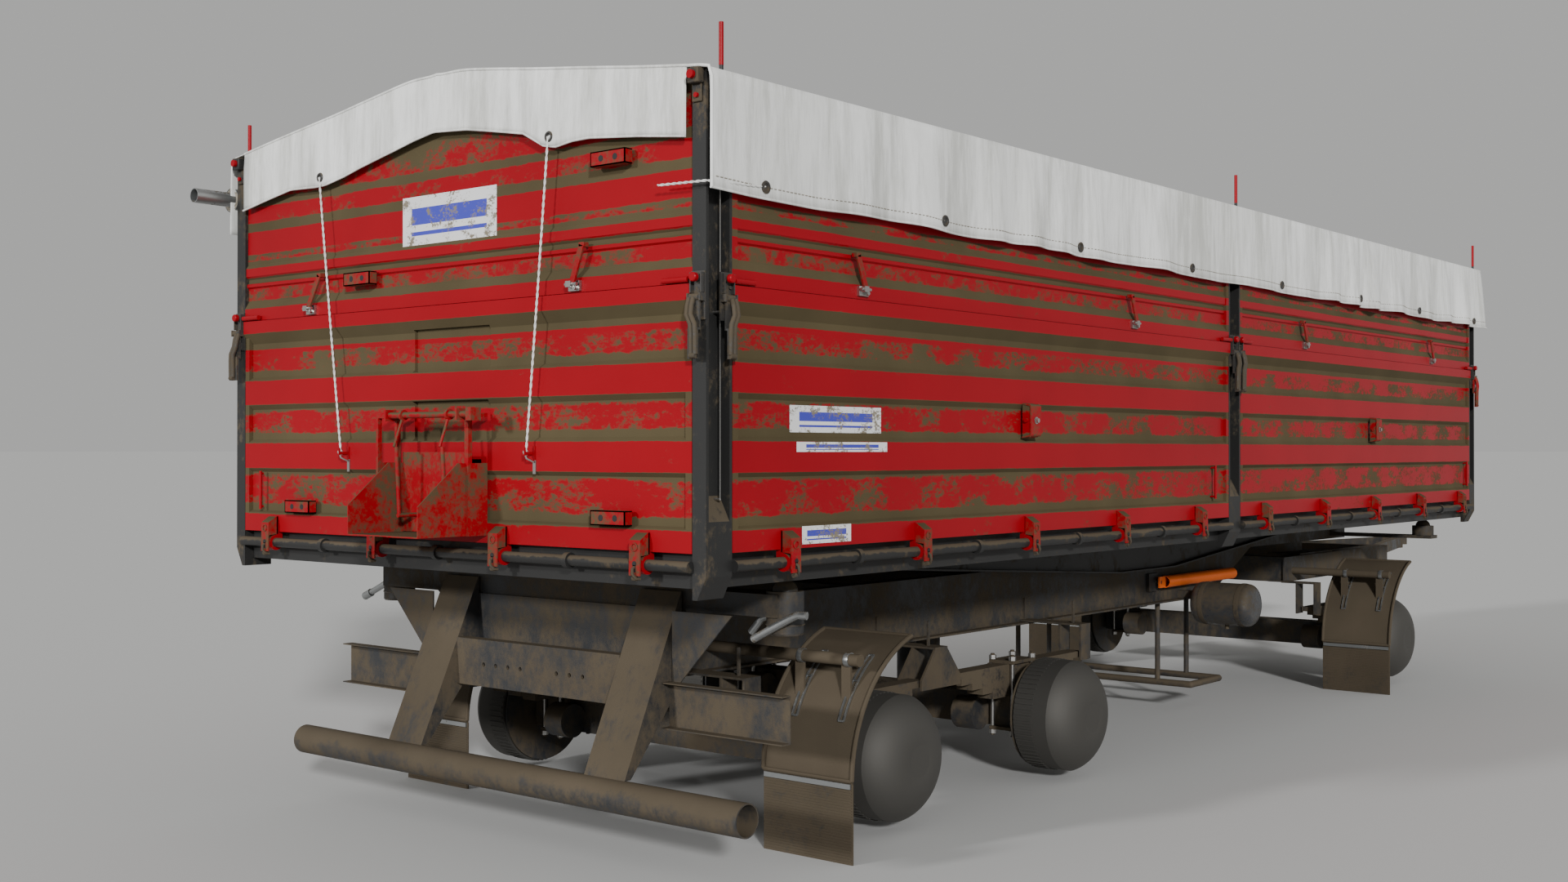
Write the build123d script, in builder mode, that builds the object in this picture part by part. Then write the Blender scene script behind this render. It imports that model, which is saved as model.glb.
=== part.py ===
"""Three-axle tipping grain trailer: chassis, steered front dolly, and a tipping box with folding boards.

Millimetres. X is the trailer's right, Y is forward, Z is up. The origin is on the ground plane, which
the mudflaps touch, under the middle of the whole trailer.
"""

import os

from build123d import *

os.makedirs("parts", exist_ok=True)

# Box
box_length = 7387.0  # rear face of the rear posts to the front face of the front posts
box_width = 2550.0  # over the raised bands of the side boards
rear = -4711.0  # rear face of the box
frame_bottom = 1001.0
frame_height = 107.0
floor_sheet = 4.0
board_height = 832.0
upper_height = 622.0
board_depth = 28.0
board_sheet = 3.0
board_gap = 3.0  # between a board and what it closes against
post_width = 57.0
post_length = 120.0
mid_post_start = 3702.0  # from the rear face to the mid post
mid_post_length = 127.0
post_toe = 31.0  # how far a post's toe hangs below the box frame
lip = 10.0  # how far a board's top lip stands proud

# Board hinges
shaft_radius = 18.0
shaft_out = 8.0  # hinge axis outside the boards' outer face
running_fit = 0.05
eye_radius = 30.0
strap_width = 48.0
strap_sheet = 6.0
hinge_pitch = 744.0
first_hinge = 262.0
hinges_per_board = 5

# Lock levers
lever_drop = 44.5  # lever pins below the top of the lower boards
lever_length = 189.0
lever_width = 40.0
lever_pin = 5.0

# Tarp
tarp_sheet = 4.0
eave_rise = 36.5  # above the upper boards
ridge_rise = 215.5
hem_drop = 341.5  # below the top of the upper boards
rear_hem_drop = 169.5
roll_drop = 123.5
tarp_out = 22.0  # outside the board faces
roll_radius = 29.0

# Chassis
rail_out = 475.0
rail_width = 65.0
rail_bottom = 601.0
rail_top = 865.0
neck_bottom = 850.0
neck_top = 930.0
rail_wall = 9.0
tip_y = rear + 640.0
tip_z = 945.0
ball_radius = 45.0
stud_radius = 21.0
cup_radius = 65.0
ball_x = 1060.0

# Axles
drum_radius = 237.0
drum_in = 900.0
drum_out = 1155.0
axle_z = 281.0
spindle_radius = 30.0
beam = 140.0
brake_radius = 72.0
rear_axle_y = rear + 1310.0
middle_axle_y = rear + 2605.0
steer_from_front = 887.0  # steering axis behind the front face of the box
spring_x = 750.0
spring_half = 550.0
leaf = 28.0
leaves = 5
leaf_width = 80.0

# Guards
guard_radius = 500.0
guard_in = 820.0
guard_out = 1220.0
flap_sheet = 6.0
tube_back = 415.0  # support tube behind the axle
tube_z = 695.0
tube_radius = 22.0

# Rear underrun
underrun_radius = 57.0
underrun_half = 1203.0
underrun_y = rear + 275.0
underrun_z = 243.5

# Ram
ram_y = rear + 2950.0
ram_pivot_z = 700.0
ram_radius = 105.0
ram_wall = 10.0
ram_stroke = 584.0
trunnion_radius = 25.0

# Chute
chute_left = -138.0
chute_right = 240.0
chute_front = 285.0  # out from the tailgate face
chute_frame_out = 85.0
chute_top = 1560.0
arm_length = 118.0
gate_thickness = 6.0

front = rear + box_length
half = box_width / 2
frame_top = frame_bottom + frame_height
floor_top = frame_top + floor_sheet
board_bottom = floor_top + 0.5
board_top = board_bottom + board_height
upper_bottom = board_top + board_gap
upper_top = upper_bottom + upper_height
lever_z = board_top - lever_drop
tarp_eave = upper_top + eave_rise
tarp_ridge = upper_top + ridge_rise
tarp_hem = upper_top - hem_drop
tarp_rear_hem = upper_top - rear_hem_drop
shaft_x = half + shaft_out
shaft_y = rear - shaft_out
shaft_z = board_bottom - 41.5
steer_y = front - steer_from_front
post_top = upper_top + 26.0
post_inner = half - post_width
frame_face = post_inner  # outer face of the side rails
spring_z = axle_z + beam / 2
post_spans = [
    (rear, rear + post_length),
    (rear + mid_post_start, rear + mid_post_start + mid_post_length),
    (front - post_length + 23.0, front),
]
board_spans = {
    "rear": (post_spans[0][1] + board_gap, post_spans[1][0] - board_gap),
    "front": (post_spans[1][1] + board_gap, post_spans[2][0] - board_gap),
}

# Outer faces of the boards as (height, depth) corners, depth 0 on the raised bands
lower_face = [(0, 0), (73, 0), (81, 15), (234, 15), (248, 0), (350, 0), (362, 15), (480, 15), (498, 0),
              (596, 0), (608, 15), (board_height - 90, 15), (board_height - 50, -lip), (board_height, -lip)]
upper_face = [(0, 0), (51, 0), (77, 15), (130, 15), (136, 8), (147, 8), (153, 15), (166, 15), (178, 4),
              (211, 4), (224, 12), (upper_height, 12)]


def save(piece, name):
    """Label a finished piece and write it out."""
    piece.part.label = name
    export_step(piece.part, f"parts/{name}.step")


def save_group(name, *pieces):
    """Write pieces that touch as separate solids of one node."""
    group = Compound(children=[solid for piece in pieces for solid in piece.part.solids()])
    group.label = name
    export_step(group, f"parts/{name}.step")


def block(x0, x1, y0, y1, z0, z1, mode=Mode.ADD):
    """A straight-sided block between two corners."""
    with Locations(((x0 + x1) / 2, (y0 + y1) / 2, (z0 + z1) / 2)):
        Box(abs(x1 - x0), abs(y1 - y0), abs(z1 - z0), mode=mode)


def rod(start, end, radius, mode=Mode.ADD):
    """A round bar from one point to another."""
    axis = Vector(*end) - Vector(*start)
    with BuildSketch(Plane(origin=start, z_dir=axis)) as circle:
        Circle(radius)
    extrude(circle.sketch, amount=axis.length, mode=mode)


def along_x(points, x0, x1, mode=Mode.ADD):
    """A section in y and z, run from x0 to x1."""
    with BuildSketch(Plane.YZ.offset(x0)) as section:
        with BuildLine():
            Polyline(*points, close=True)
        make_face()
    extrude(section.sketch, amount=x1 - x0, mode=mode)


def along_y(points, y0, y1, mode=Mode.ADD):
    """A section in x and z, run from y0 to y1."""
    with BuildSketch(Plane.XZ.offset(-y1)) as section:
        with BuildLine():
            Polyline(*points, close=True)
        make_face()
    extrude(section.sketch, amount=y1 - y0, mode=mode)


def channel_y(web_x, edge_x, y0, y1, z0, z1, wall):
    """A channel along y: web at web_x, flanges reaching to edge_x."""
    inward = wall if edge_x > web_x else -wall
    along_y([(web_x, z0), (edge_x, z0), (edge_x, z0 + wall), (web_x + inward, z0 + wall),
             (web_x + inward, z1 - wall), (edge_x, z1 - wall), (edge_x, z1), (web_x, z1)], y0, y1)


def channel_x(web_y, edge_y, x0, x1, z0, z1, wall):
    """A channel along x: web at web_y, flanges reaching to edge_y."""
    inward = wall if edge_y > web_y else -wall
    along_x([(web_y, z0), (edge_y, z0), (edge_y, z0 + wall), (web_y + inward, z0 + wall),
             (web_y + inward, z1 - wall), (edge_y, z1 - wall), (edge_y, z1), (web_y, z1)], x0, x1)


def board_section(face, height):
    """Outline and cavity of a hollow board as (height, depth) corners."""
    inner = board_depth - board_sheet
    cavity = [(min(max(h, board_sheet), height - board_sheet), d + board_sheet) for h, d in face]
    return (face + [(height, board_depth), (0, board_depth)],
            cavity + [(height - board_sheet, inner), (board_sheet, inner)])


def both_sides(piece):
    """The same piece again on the left."""
    with BuildPart() as pair:
        add(piece.part)
        mirror(piece.part, about=Plane.YZ)
    return pair


def left_copy(piece):
    """The piece mirrored to the left."""
    with BuildPart() as twin:
        mirror(piece.part, about=Plane.YZ)
    return twin


# ---------------------------------------------------------------- box frame and floor
rail_start = rear + 42.0
rail_end = front - 12.0
hinge_places = {
    section: [start + first_hinge - board_gap + i * hinge_pitch for i in range(hinges_per_board)]
    for section, (start, end) in board_spans.items()
}
carrier_places = {
    section: [y + hinge_pitch / 2 for y in places[:-1]] for section, places in hinge_places.items()
}
tail_hinges = [-1012.0, -337.0, 337.0, 1012.0]
tail_carriers = [-674.0, 0.0, 674.0]
carrier_width = 22.0
carrier_radius = 26.0
beam_x = 560.0
beam_low_y = rear + 4200.0
beam_low_z = 801.0
beam_wall = 8.0
beam_flange = 80.0
cross_members = 10

with BuildPart() as box_frame:
    for side in (1, -1):
        channel_y(side * frame_face, side * (frame_face - 57), rail_start, rail_end, frame_bottom, frame_top, 5)
        outline = [(tip_y + 110, frame_bottom), (beam_low_y - 300, beam_low_z), (beam_low_y + 300, beam_low_z),
                   (front - 540, frame_bottom)]
        web = side * (beam_x - beam_wall / 2)
        along_x(outline, min(web, web + side * beam_wall), max(web, web + side * beam_wall))
        along_x([(y, z) for y, z in outline] + [(y, z + beam_wall) for y, z in reversed(outline)],
                side * beam_x - beam_flange / 2, side * beam_x + beam_flange / 2)
        for places in carrier_places.values():
            for y in places:
                block(side * frame_face, side * shaft_x, y - carrier_width / 2, y + carrier_width / 2,
                      shaft_z - 12, shaft_z + 12)
                rod((side * shaft_x, y - carrier_width / 2, shaft_z),
                    (side * shaft_x, y + carrier_width / 2, shaft_z), carrier_radius)
    pitch = (rail_end - rail_start - 120) / (cross_members - 1)
    for i in range(cross_members):
        y = rail_start + 60 + i * pitch
        channel_x(y - 25, y + 25, -frame_face + 5, frame_face - 5, frame_bottom, frame_top, 4)
    block(-post_inner, post_inner, rail_start - 6, rail_start, frame_bottom, frame_top)
    block(-post_inner, post_inner, rail_end, rail_end + 6, frame_bottom, frame_top)
    for x in tail_carriers:
        block(x - carrier_width / 2, x + carrier_width / 2, shaft_y, rail_start - 3, shaft_z - 12, shaft_z + 12)
        rod((x - carrier_width / 2, shaft_y, shaft_z), (x + carrier_width / 2, shaft_y, shaft_z), carrier_radius)
        rod((x - carrier_width, shaft_y, shaft_z), (x + carrier_width, shaft_y, shaft_z),
            shaft_radius + running_fit, mode=Mode.SUBTRACT)
    for side in (1, -1):
        rod((side * shaft_x, rear + 200, shaft_z), (side * shaft_x, front - 200, shaft_z),
            shaft_radius + running_fit, mode=Mode.SUBTRACT)
save(box_frame, "box_frame")

with BuildPart() as box_floor:
    floor_half = half - board_depth - 6
    block(-floor_half, floor_half, rail_start, front - 46, frame_top, floor_top)
    for y0, y1 in post_spans:
        for side in (1, -1):
            block(side * post_inner, side * half, y0 - 1, y1 + 1, frame_top - 1, floor_top + 1, mode=Mode.SUBTRACT)
save(box_floor, "box_floor")

with BuildPart() as hinge_shafts:
    rod((-post_inner, shaft_y, shaft_z), (post_inner, shaft_y, shaft_z), shaft_radius)
    for side in (1, -1):
        for start, end in board_spans.values():
            rod((side * shaft_x, start - board_gap, shaft_z), (side * shaft_x, end + board_gap, shaft_z),
                shaft_radius)
save(hinge_shafts, "hinge_shafts")

# ---------------------------------------------------------------- posts, with stop rods on the right
toe_bottom = frame_bottom - post_toe
rod_x = half + 8
rod_radius = 7.0
rod_top = tarp_ridge - 34.0
with BuildPart() as right_posts:
    for y0, y1 in post_spans:
        block(post_inner, half, y0, y1, toe_bottom, post_top)
        block(half - 42, half, y0 + 12, y1 - 12, 1290, post_top - 36, mode=Mode.SUBTRACT)
        along_y([(half - 42, 1290), (half, 1290), (half, 1211)], y0 + 12, y1 - 12, mode=Mode.SUBTRACT)
        along_y([(half + 1, toe_bottom + 74), (half + 1, toe_bottom - 1), (half - 38, toe_bottom - 1)],
                y0 - 1, y1 + 1, mode=Mode.SUBTRACT)
with BuildPart() as posts:
    add(both_sides(right_posts).part)
    for y0, y1 in post_spans:
        middle = (y0 + y1) / 2
        block(half - 50, rod_x + 2, middle - 14, middle + 14, tarp_hem + 60, tarp_hem + 84)
        rod((rod_x, middle, tarp_hem + 60), (rod_x, middle, rod_top), rod_radius)
save(posts, "posts")

# ---------------------------------------------------------------- boards
stile = 26.0
recess = 15.0


def side_panel(face, bottom, height, start, end):
    """A hollow board on the right side, with solid end stiles and a drain hole."""
    outline, cavity = board_section(face, height)
    along_y([(half - d, bottom + h) for h, d in outline], start, end)
    block(half - board_depth, half, start, start + stile, bottom, bottom + height - 60)
    block(half - board_depth, half, end - stile, end, bottom, bottom + height - 60)
    along_y([(half - d, bottom + h) for h, d in cavity], start + stile, end - stile, mode=Mode.SUBTRACT)
    drain_x = half - board_depth / 2 - 6
    rod((drain_x, (start + end) / 2, bottom - 1), (drain_x, (start + end) / 2, bottom + 20), 6, mode=Mode.SUBTRACT)


def side_strap(y):
    """A hinge strap: flat on the board's face, with an eye round the hinge shaft."""
    block(half, half + strap_sheet, y - strap_width / 2, y + strap_width / 2, shaft_z, board_bottom + 62)
    block(half - 20, half + strap_sheet, y - strap_width / 2, y + strap_width / 2, shaft_z, board_bottom)
    rod((shaft_x, y - strap_width / 2, shaft_z), (shaft_x, y + strap_width / 2, shaft_z), eye_radius)
    rod((shaft_x, y - strap_width, shaft_z), (shaft_x, y + strap_width, shaft_z), shaft_radius + running_fit,
        mode=Mode.SUBTRACT)


chain_place = 1745.0  # cross-chain anchor along each side board
for section, (start, end) in board_spans.items():
    with BuildPart() as side_board:
        side_panel(lower_face, board_bottom, board_height, start, end)
        for y in hinge_places[section]:
            side_strap(y)
        chain_y = start + chain_place
        for ear in (chain_y - 35, chain_y + 27):
            block(half, half + 34, ear, ear + 8, board_bottom + 370, board_bottom + 500)
        rod((half + 20, chain_y - 45, board_bottom + 435), (half + 20, chain_y + 45, board_bottom + 435), 8)
    save(side_board, f"side_board_right_{section}")
    save(left_copy(side_board), f"side_board_left_{section}")

tail_half = post_inner - board_gap
opening_bottom = board_bottom + 28
opening_top = board_bottom + 288
with BuildPart() as tailgate:
    outline, cavity = board_section(lower_face, board_height)
    along_x([(rear + d, board_bottom + h) for h, d in outline], -tail_half, tail_half)
    for x0, x1, y in ((-tail_half, -tail_half + stile, rear), (tail_half - stile, tail_half, rear),
                      (chute_left - 30, chute_right + 30, rear + recess)):
        block(x0, x1, y, rear + board_depth, board_bottom, board_bottom + board_height - 60)
    for x0, x1 in ((-tail_half + stile, chute_left - 30), (chute_right + 30, tail_half - stile)):
        along_x([(rear + d, board_bottom + h) for h, d in cavity], x0, x1, mode=Mode.SUBTRACT)
        drain_y = rear + board_depth / 2 + 6
        rod(((x0 + x1) / 2, drain_y, board_bottom - 1), ((x0 + x1) / 2, drain_y, board_bottom + 20), 6,
            mode=Mode.SUBTRACT)
    block(chute_left - 18, chute_right + 18, rear + 3, rear + board_depth - 3, opening_top + 30,
          board_top - 80, mode=Mode.SUBTRACT)
    block(chute_left + 20, chute_right - 12, rear - 1, rear + board_depth + 1, opening_bottom, opening_top,
          mode=Mode.SUBTRACT)
    block(chute_left + 100, chute_left + 130, rear + 2, rear + board_depth - 2, opening_top - 10,
          opening_top + 40, mode=Mode.SUBTRACT)
    for x in tail_hinges:
        block(x - strap_width / 2, x + strap_width / 2, rear - strap_sheet, rear, shaft_z, board_bottom + 62)
        block(x - strap_width / 2, x + strap_width / 2, rear - strap_sheet, rear + 20, shaft_z, board_bottom)
        rod((x - strap_width / 2, shaft_y, shaft_z), (x + strap_width / 2, shaft_y, shaft_z), eye_radius)
        rod((x - strap_width, shaft_y, shaft_z), (x + strap_width, shaft_y, shaft_z), shaft_radius + running_fit,
            mode=Mode.SUBTRACT)
    for x in (-541.0, 489.0):
        block(x - 15, x + 15, rear - 4, rear, 1395, 1445)
        rod((x, rear - 4, 1420), (x, rear - 34, 1420), 6)
        block(x - 6, x + 6, rear - 40, rear - 34, 1414, 1440)
save(tailgate, "tailgate")

with BuildPart() as right_upper:
    for start, end in board_spans.values():
        side_panel(upper_face, upper_bottom, upper_height, start - board_gap, end + board_gap)
side_uppers = both_sides(right_upper)
gable = 96.0
with BuildPart() as upper_boards:
    add(side_uppers.part)
    outline, cavity = board_section(upper_face, upper_height)
    along_x([(rear + d, upper_bottom + h) for h, d in outline], -post_inner, post_inner)
    along_x([(rear + d, upper_bottom + h) for h, d in cavity], -post_inner + stile, post_inner - stile,
            mode=Mode.SUBTRACT)
    drain_y = rear + board_depth / 2 + 6
    rod((0, drain_y, upper_bottom - 1), (0, drain_y, upper_bottom + 20), 6, mode=Mode.SUBTRACT)
    along_y([(-post_inner + 60, upper_top), (post_inner - 60, upper_top), (0, upper_top + gable)],
            rear + 14, rear + 18)
save(upper_boards, "upper_boards")

with BuildPart() as headboard:
    block(-post_inner, post_inner, front - 44, front - 40, floor_top, upper_top)
    for i in range(5):
        x = (i - 2) * 560.0
        channel_width = 30.0
        block(x - channel_width, x + channel_width, front - 40, front - 12, floor_top, upper_top)
        block(x - channel_width + 4, x + channel_width - 4, front - 36, front - 8, floor_top, upper_top,
              mode=Mode.SUBTRACT)
    for z in (floor_top, board_top - 25, upper_top - 50):
        block(-post_inner, post_inner, front - 16, front - 12, z, z + 50)
    along_y([(-post_inner + 60, upper_top), (post_inner - 60, upper_top), (0, upper_top + gable)],
            front - 44, front - 40)
save(headboard, "headboard")

# ---------------------------------------------------------------- locks on the posts
plate_low = lever_z - 69
plate_high = lever_z + 81
ear = 6.0
ear_gap = 2.0
pin_out = 18.0
plate_sheet = 6.0


def lever_places():
    """Each right-hand lever: name, which way it faces, and its place along the post."""
    rear_post, mid_post, front_post = post_spans
    return [
        ("rear_corner", "rear", half - post_width / 2),
        ("rear_side", "side", rear_post[1] - 32),
        ("mid_rear", "side", mid_post[0] + 30),
        ("mid_front", "side", mid_post[1] - 30),
        ("front_side", "side", front_post[0] + 40),
    ]


def facing(face, along, out, z):
    """A point on a post: along its face, out from it, and up."""
    return (half + out, along, z) if face == "side" else (along, rear - out, z)


def facing_block(face, a0, a1, o0, o1, z0, z1):
    """A block given along a post's face, out from it, and up."""
    x0, y0, _ = facing(face, a0, o0, z0)
    x1, y1, _ = facing(face, a1, o1, z1)
    block(x0, x1, y0, y1, z0, z1)


with BuildPart() as right_locks:
    for _, face, place in lever_places():
        width = lever_width / 2 + ear_gap
        facing_block(face, place - width - ear, place + width + ear, 0, plate_sheet, plate_low, plate_high)
        for end in (-1, 1):
            facing_block(face, place + end * width, place + end * (width + ear), plate_sheet, pin_out + 10,
                         lever_z - 12, lever_z + 12)
        rod(facing(face, place - width, pin_out, lever_z), facing(face, place + width, pin_out, lever_z), lever_pin)
        rod(facing(face, place, plate_sheet, lever_z + 61), facing(face, place, plate_sheet + 14, lever_z + 61), 13)
locks = both_sides(right_locks)
save(locks, "lock_plates")

handle_sheet = 6.0
handle_step = 14.0
for name, face, place in lever_places():
    with BuildPart() as lever:
        rod(facing(face, place - lever_width / 2, pin_out, lever_z),
            facing(face, place + lever_width / 2, pin_out, lever_z), 11)
        upper = lever_z - lever_length * 0.5
        facing_block(face, place - lever_width / 2, place + lever_width / 2, pin_out - 3, pin_out + 3,
                     upper, lever_z)
        facing_block(face, place - lever_width / 2, place + lever_width / 2, pin_out - 3,
                     pin_out + handle_step, upper - handle_sheet, upper)
        facing_block(face, place - lever_width / 2, place + lever_width / 2,
                     pin_out + handle_step - handle_sheet, pin_out + handle_step, lever_z - lever_length,
                     upper)
        rod(facing(face, place - lever_width, pin_out, lever_z),
            facing(face, place + lever_width, pin_out, lever_z), lever_pin + running_fit, mode=Mode.SUBTRACT)
    save(lever, f"lever_right_{name}")
    save(left_copy(lever), f"lever_left_{name}")

# ---------------------------------------------------------------- chute and gate in the tailgate
chute_bottom = board_bottom + 30
chute_sheet = 4.0
cheek_height = 245.0
gate_back = 54.0
shaft_out_gate = 112.0
gate_shaft_z = chute_top - 6
gate_shaft_radius = 11.0
bearing = 7.0
with BuildPart() as chute:
    for x0, x1 in ((-250, -238), (chute_left - 4, chute_left + 8), (chute_right, chute_right + 20)):
        block(x0, x1, rear - chute_frame_out, rear, chute_bottom, chute_bottom + cheek_height)
        block(x0, x1, rear - chute_frame_out, rear - 68, chute_bottom, chute_top)
        block(x0, x1, rear - chute_frame_out, rear, chute_top - 14, chute_top)
    block(-250, chute_right + 20, rear - chute_frame_out, rear - 68, chute_top - 14, chute_top)
    block(-250, chute_right + 20, rear - chute_front, rear, chute_bottom - chute_sheet, chute_bottom)
    block(-251, chute_left - 4, rear - chute_front - 1, rear - chute_frame_out, chute_bottom - 5,
          chute_bottom + 1, mode=Mode.SUBTRACT)
    block(chute_right + chute_sheet, chute_right + 21, rear - chute_front - 1, rear - chute_frame_out,
          chute_bottom - 5, chute_bottom + 1, mode=Mode.SUBTRACT)
    cheek = [(rear - chute_frame_out, chute_bottom), (rear - chute_front, chute_bottom),
             (rear - chute_front, chute_bottom + 100), (rear - chute_frame_out - 30, chute_bottom + cheek_height),
             (rear - chute_frame_out, chute_bottom + cheek_height)]
    along_x(cheek, chute_left - 4, chute_left)
    along_x(cheek, chute_right, chute_right + chute_sheet)
    for x in (chute_left - 4, chute_right + 6):
        block(x, x + 10, rear - shaft_out_gate - 20, rear - chute_frame_out, gate_shaft_z - 20,
              gate_shaft_z + 20)
        rod((x - 1, rear - shaft_out_gate, gate_shaft_z), (x + 11, rear - shaft_out_gate, gate_shaft_z),
            gate_shaft_radius + running_fit, mode=Mode.SUBTRACT)
save(chute, "chute")

arm_places = (-58.0, 192.0)
link_side = 14.0
link_out = 140.0  # lower ends of the links behind the tailgate face, clear of the shaft as the gate rises
gate_low = chute_bottom + 2
gate_high = 1425.0
arm_tip_out = shaft_out_gate + arm_length * 0.34
arm_tip_z = gate_shaft_z - arm_length * 0.94
with BuildPart() as gate:
    block(chute_left + 10, chute_right - 2, rear - gate_back - gate_thickness, rear - gate_back, gate_low, gate_high)
    for x in arm_places:
        link = x + link_side
        rod((link, rear - gate_back - gate_thickness, gate_low + 60),
            (link, rear - link_out - 6, gate_low + 60), 8)
        rod((link, rear - link_out, gate_low + 60), (link, rear - arm_tip_out, arm_tip_z), 7)
save(gate, "gate")

with BuildPart() as gate_shaft:
    rod((chute_left - 12, rear - shaft_out_gate, gate_shaft_z),
        (chute_right + 88, rear - shaft_out_gate, gate_shaft_z), gate_shaft_radius)
    block(chute_right + 64, chute_right + 92, rear - shaft_out_gate - 22, rear - shaft_out_gate + 22,
          gate_shaft_z - 22, gate_shaft_z + 22)
    for x in arm_places:
        rod((x - 5, rear - shaft_out_gate, gate_shaft_z), (x + 5, rear - shaft_out_gate, gate_shaft_z), 19)
        rod((x, rear - shaft_out_gate, gate_shaft_z), (x, rear - arm_tip_out, arm_tip_z), 5)
save(gate_shaft, "gate_shaft")

# ---------------------------------------------------------------- roof: bows, tarp, roll tube, ropes
bow_radius = 11.0
bow_foot_z = upper_top
bow_peak = tarp_ridge - tarp_sheet - 2 * bow_radius - 8
with BuildPart() as roof_bows:
    count = 6
    for i in range(count):
        y = rear + 170 + i * (box_length - 340) / (count - 1)
        for side in (1, -1):
            x = side * (half - board_depth / 2)
            rod((x, y, bow_foot_z), (x, y, bow_foot_z + 20), bow_radius)
            rod((x, y, bow_foot_z + 16), (0, y, bow_peak), bow_radius)
    rod((0, rear + 40, bow_peak), (0, front - 20, bow_peak), 14)
save(roof_bows, "roof_bows")

tarp_half = half + tarp_out
tarp_start = rear - 16.0
tarp_end = front + 70.0
roof = [(-tarp_half, tarp_hem), (-tarp_half, tarp_eave), (0, tarp_ridge), (tarp_half, tarp_eave),
        (tarp_half, tarp_hem)]
under = [(-tarp_half + tarp_sheet, tarp_hem - 1), (-tarp_half + tarp_sheet, tarp_eave - tarp_sheet),
         (0, tarp_ridge - tarp_sheet), (tarp_half - tarp_sheet, tarp_eave - tarp_sheet),
         (tarp_half - tarp_sheet, tarp_hem - 1)]
with BuildPart() as tarp:
    along_y(roof, tarp_start, tarp_end)
    along_y(under, tarp_start + tarp_sheet, tarp_end - tarp_sheet, mode=Mode.SUBTRACT)
    hem = [(-tarp_half + 40, tarp_hem - 1), (-tarp_half + 40, tarp_rear_hem), (0, tarp_rear_hem + 165),
           (tarp_half - 40, tarp_rear_hem), (tarp_half - 40, tarp_hem - 1)]
    along_y(hem, tarp_start - 1, tarp_start + tarp_sheet + 1, mode=Mode.SUBTRACT)
    for y0, y1 in post_spans:
        middle = (y0 + y1) / 2
        rod((rod_x, middle, tarp_eave - 30), (rod_x, middle, tarp_eave + 30), rod_radius + 2, mode=Mode.SUBTRACT)
save(tarp, "tarp")

roll_z = upper_top - roll_drop
roll_x = -tarp_half - roll_radius - 4
with BuildPart() as roll_tube:
    rod((roll_x, rear - 160, roll_z), (roll_x, front + 60, roll_z), roll_radius)
    rod((roll_x, rear - 161, roll_z), (roll_x, front + 61, roll_z), roll_radius - 3, mode=Mode.SUBTRACT)
save(roll_tube, "roll_tube")

rope_radius = 4.0
rope_routes = {
    "rear_rope_left": ((-680.0, rear - 22, 2466), (-541.0, rear - 28, 1427)),
    "rear_rope_right": ((594.0, rear - 22, 2468), (489.0, rear - 28, 1427)),
}
for name, (top, bottom) in rope_routes.items():
    with BuildPart() as rope:
        rod(top, bottom, rope_radius)
    save(rope, name)

cord_x = tarp_half + rope_radius + 2
cord_points = [(cord_x, rear + 247, 2262), (cord_x, rear - 28, 2246), (half - 177, rear - 28, 2255)]
with BuildPart() as side_cord:
    with BuildLine() as route:
        FilletPolyline(*cord_points, radius=16)
    with BuildSketch(Plane(origin=cord_points[0], z_dir=route.line % 0)) as circle:
        Circle(rope_radius)
    sweep(circle.sketch, path=route.line)
save(side_cord, "side_cord")

# ---------------------------------------------------------------- balls and cups under the box
front_ball_y = front - 337.0
ball_rows = (tip_y, front_ball_y)
with BuildPart() as ball_studs:
    for y in ball_rows:
        for side in (1, -1):
            rod((side * ball_x, y, tip_z), (side * ball_x, y, frame_bottom - 10), stud_radius)
            block(side * ball_x - 70, side * ball_x + 70, y - 36, y + 36, frame_bottom - 10, frame_bottom)
            with Locations((side * ball_x, y, tip_z)):
                Sphere(ball_radius)
    block(-80, 80, ram_y - 80, ram_y + 80, frame_bottom - 14, frame_bottom)
save(ball_studs, "ball_studs")

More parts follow.
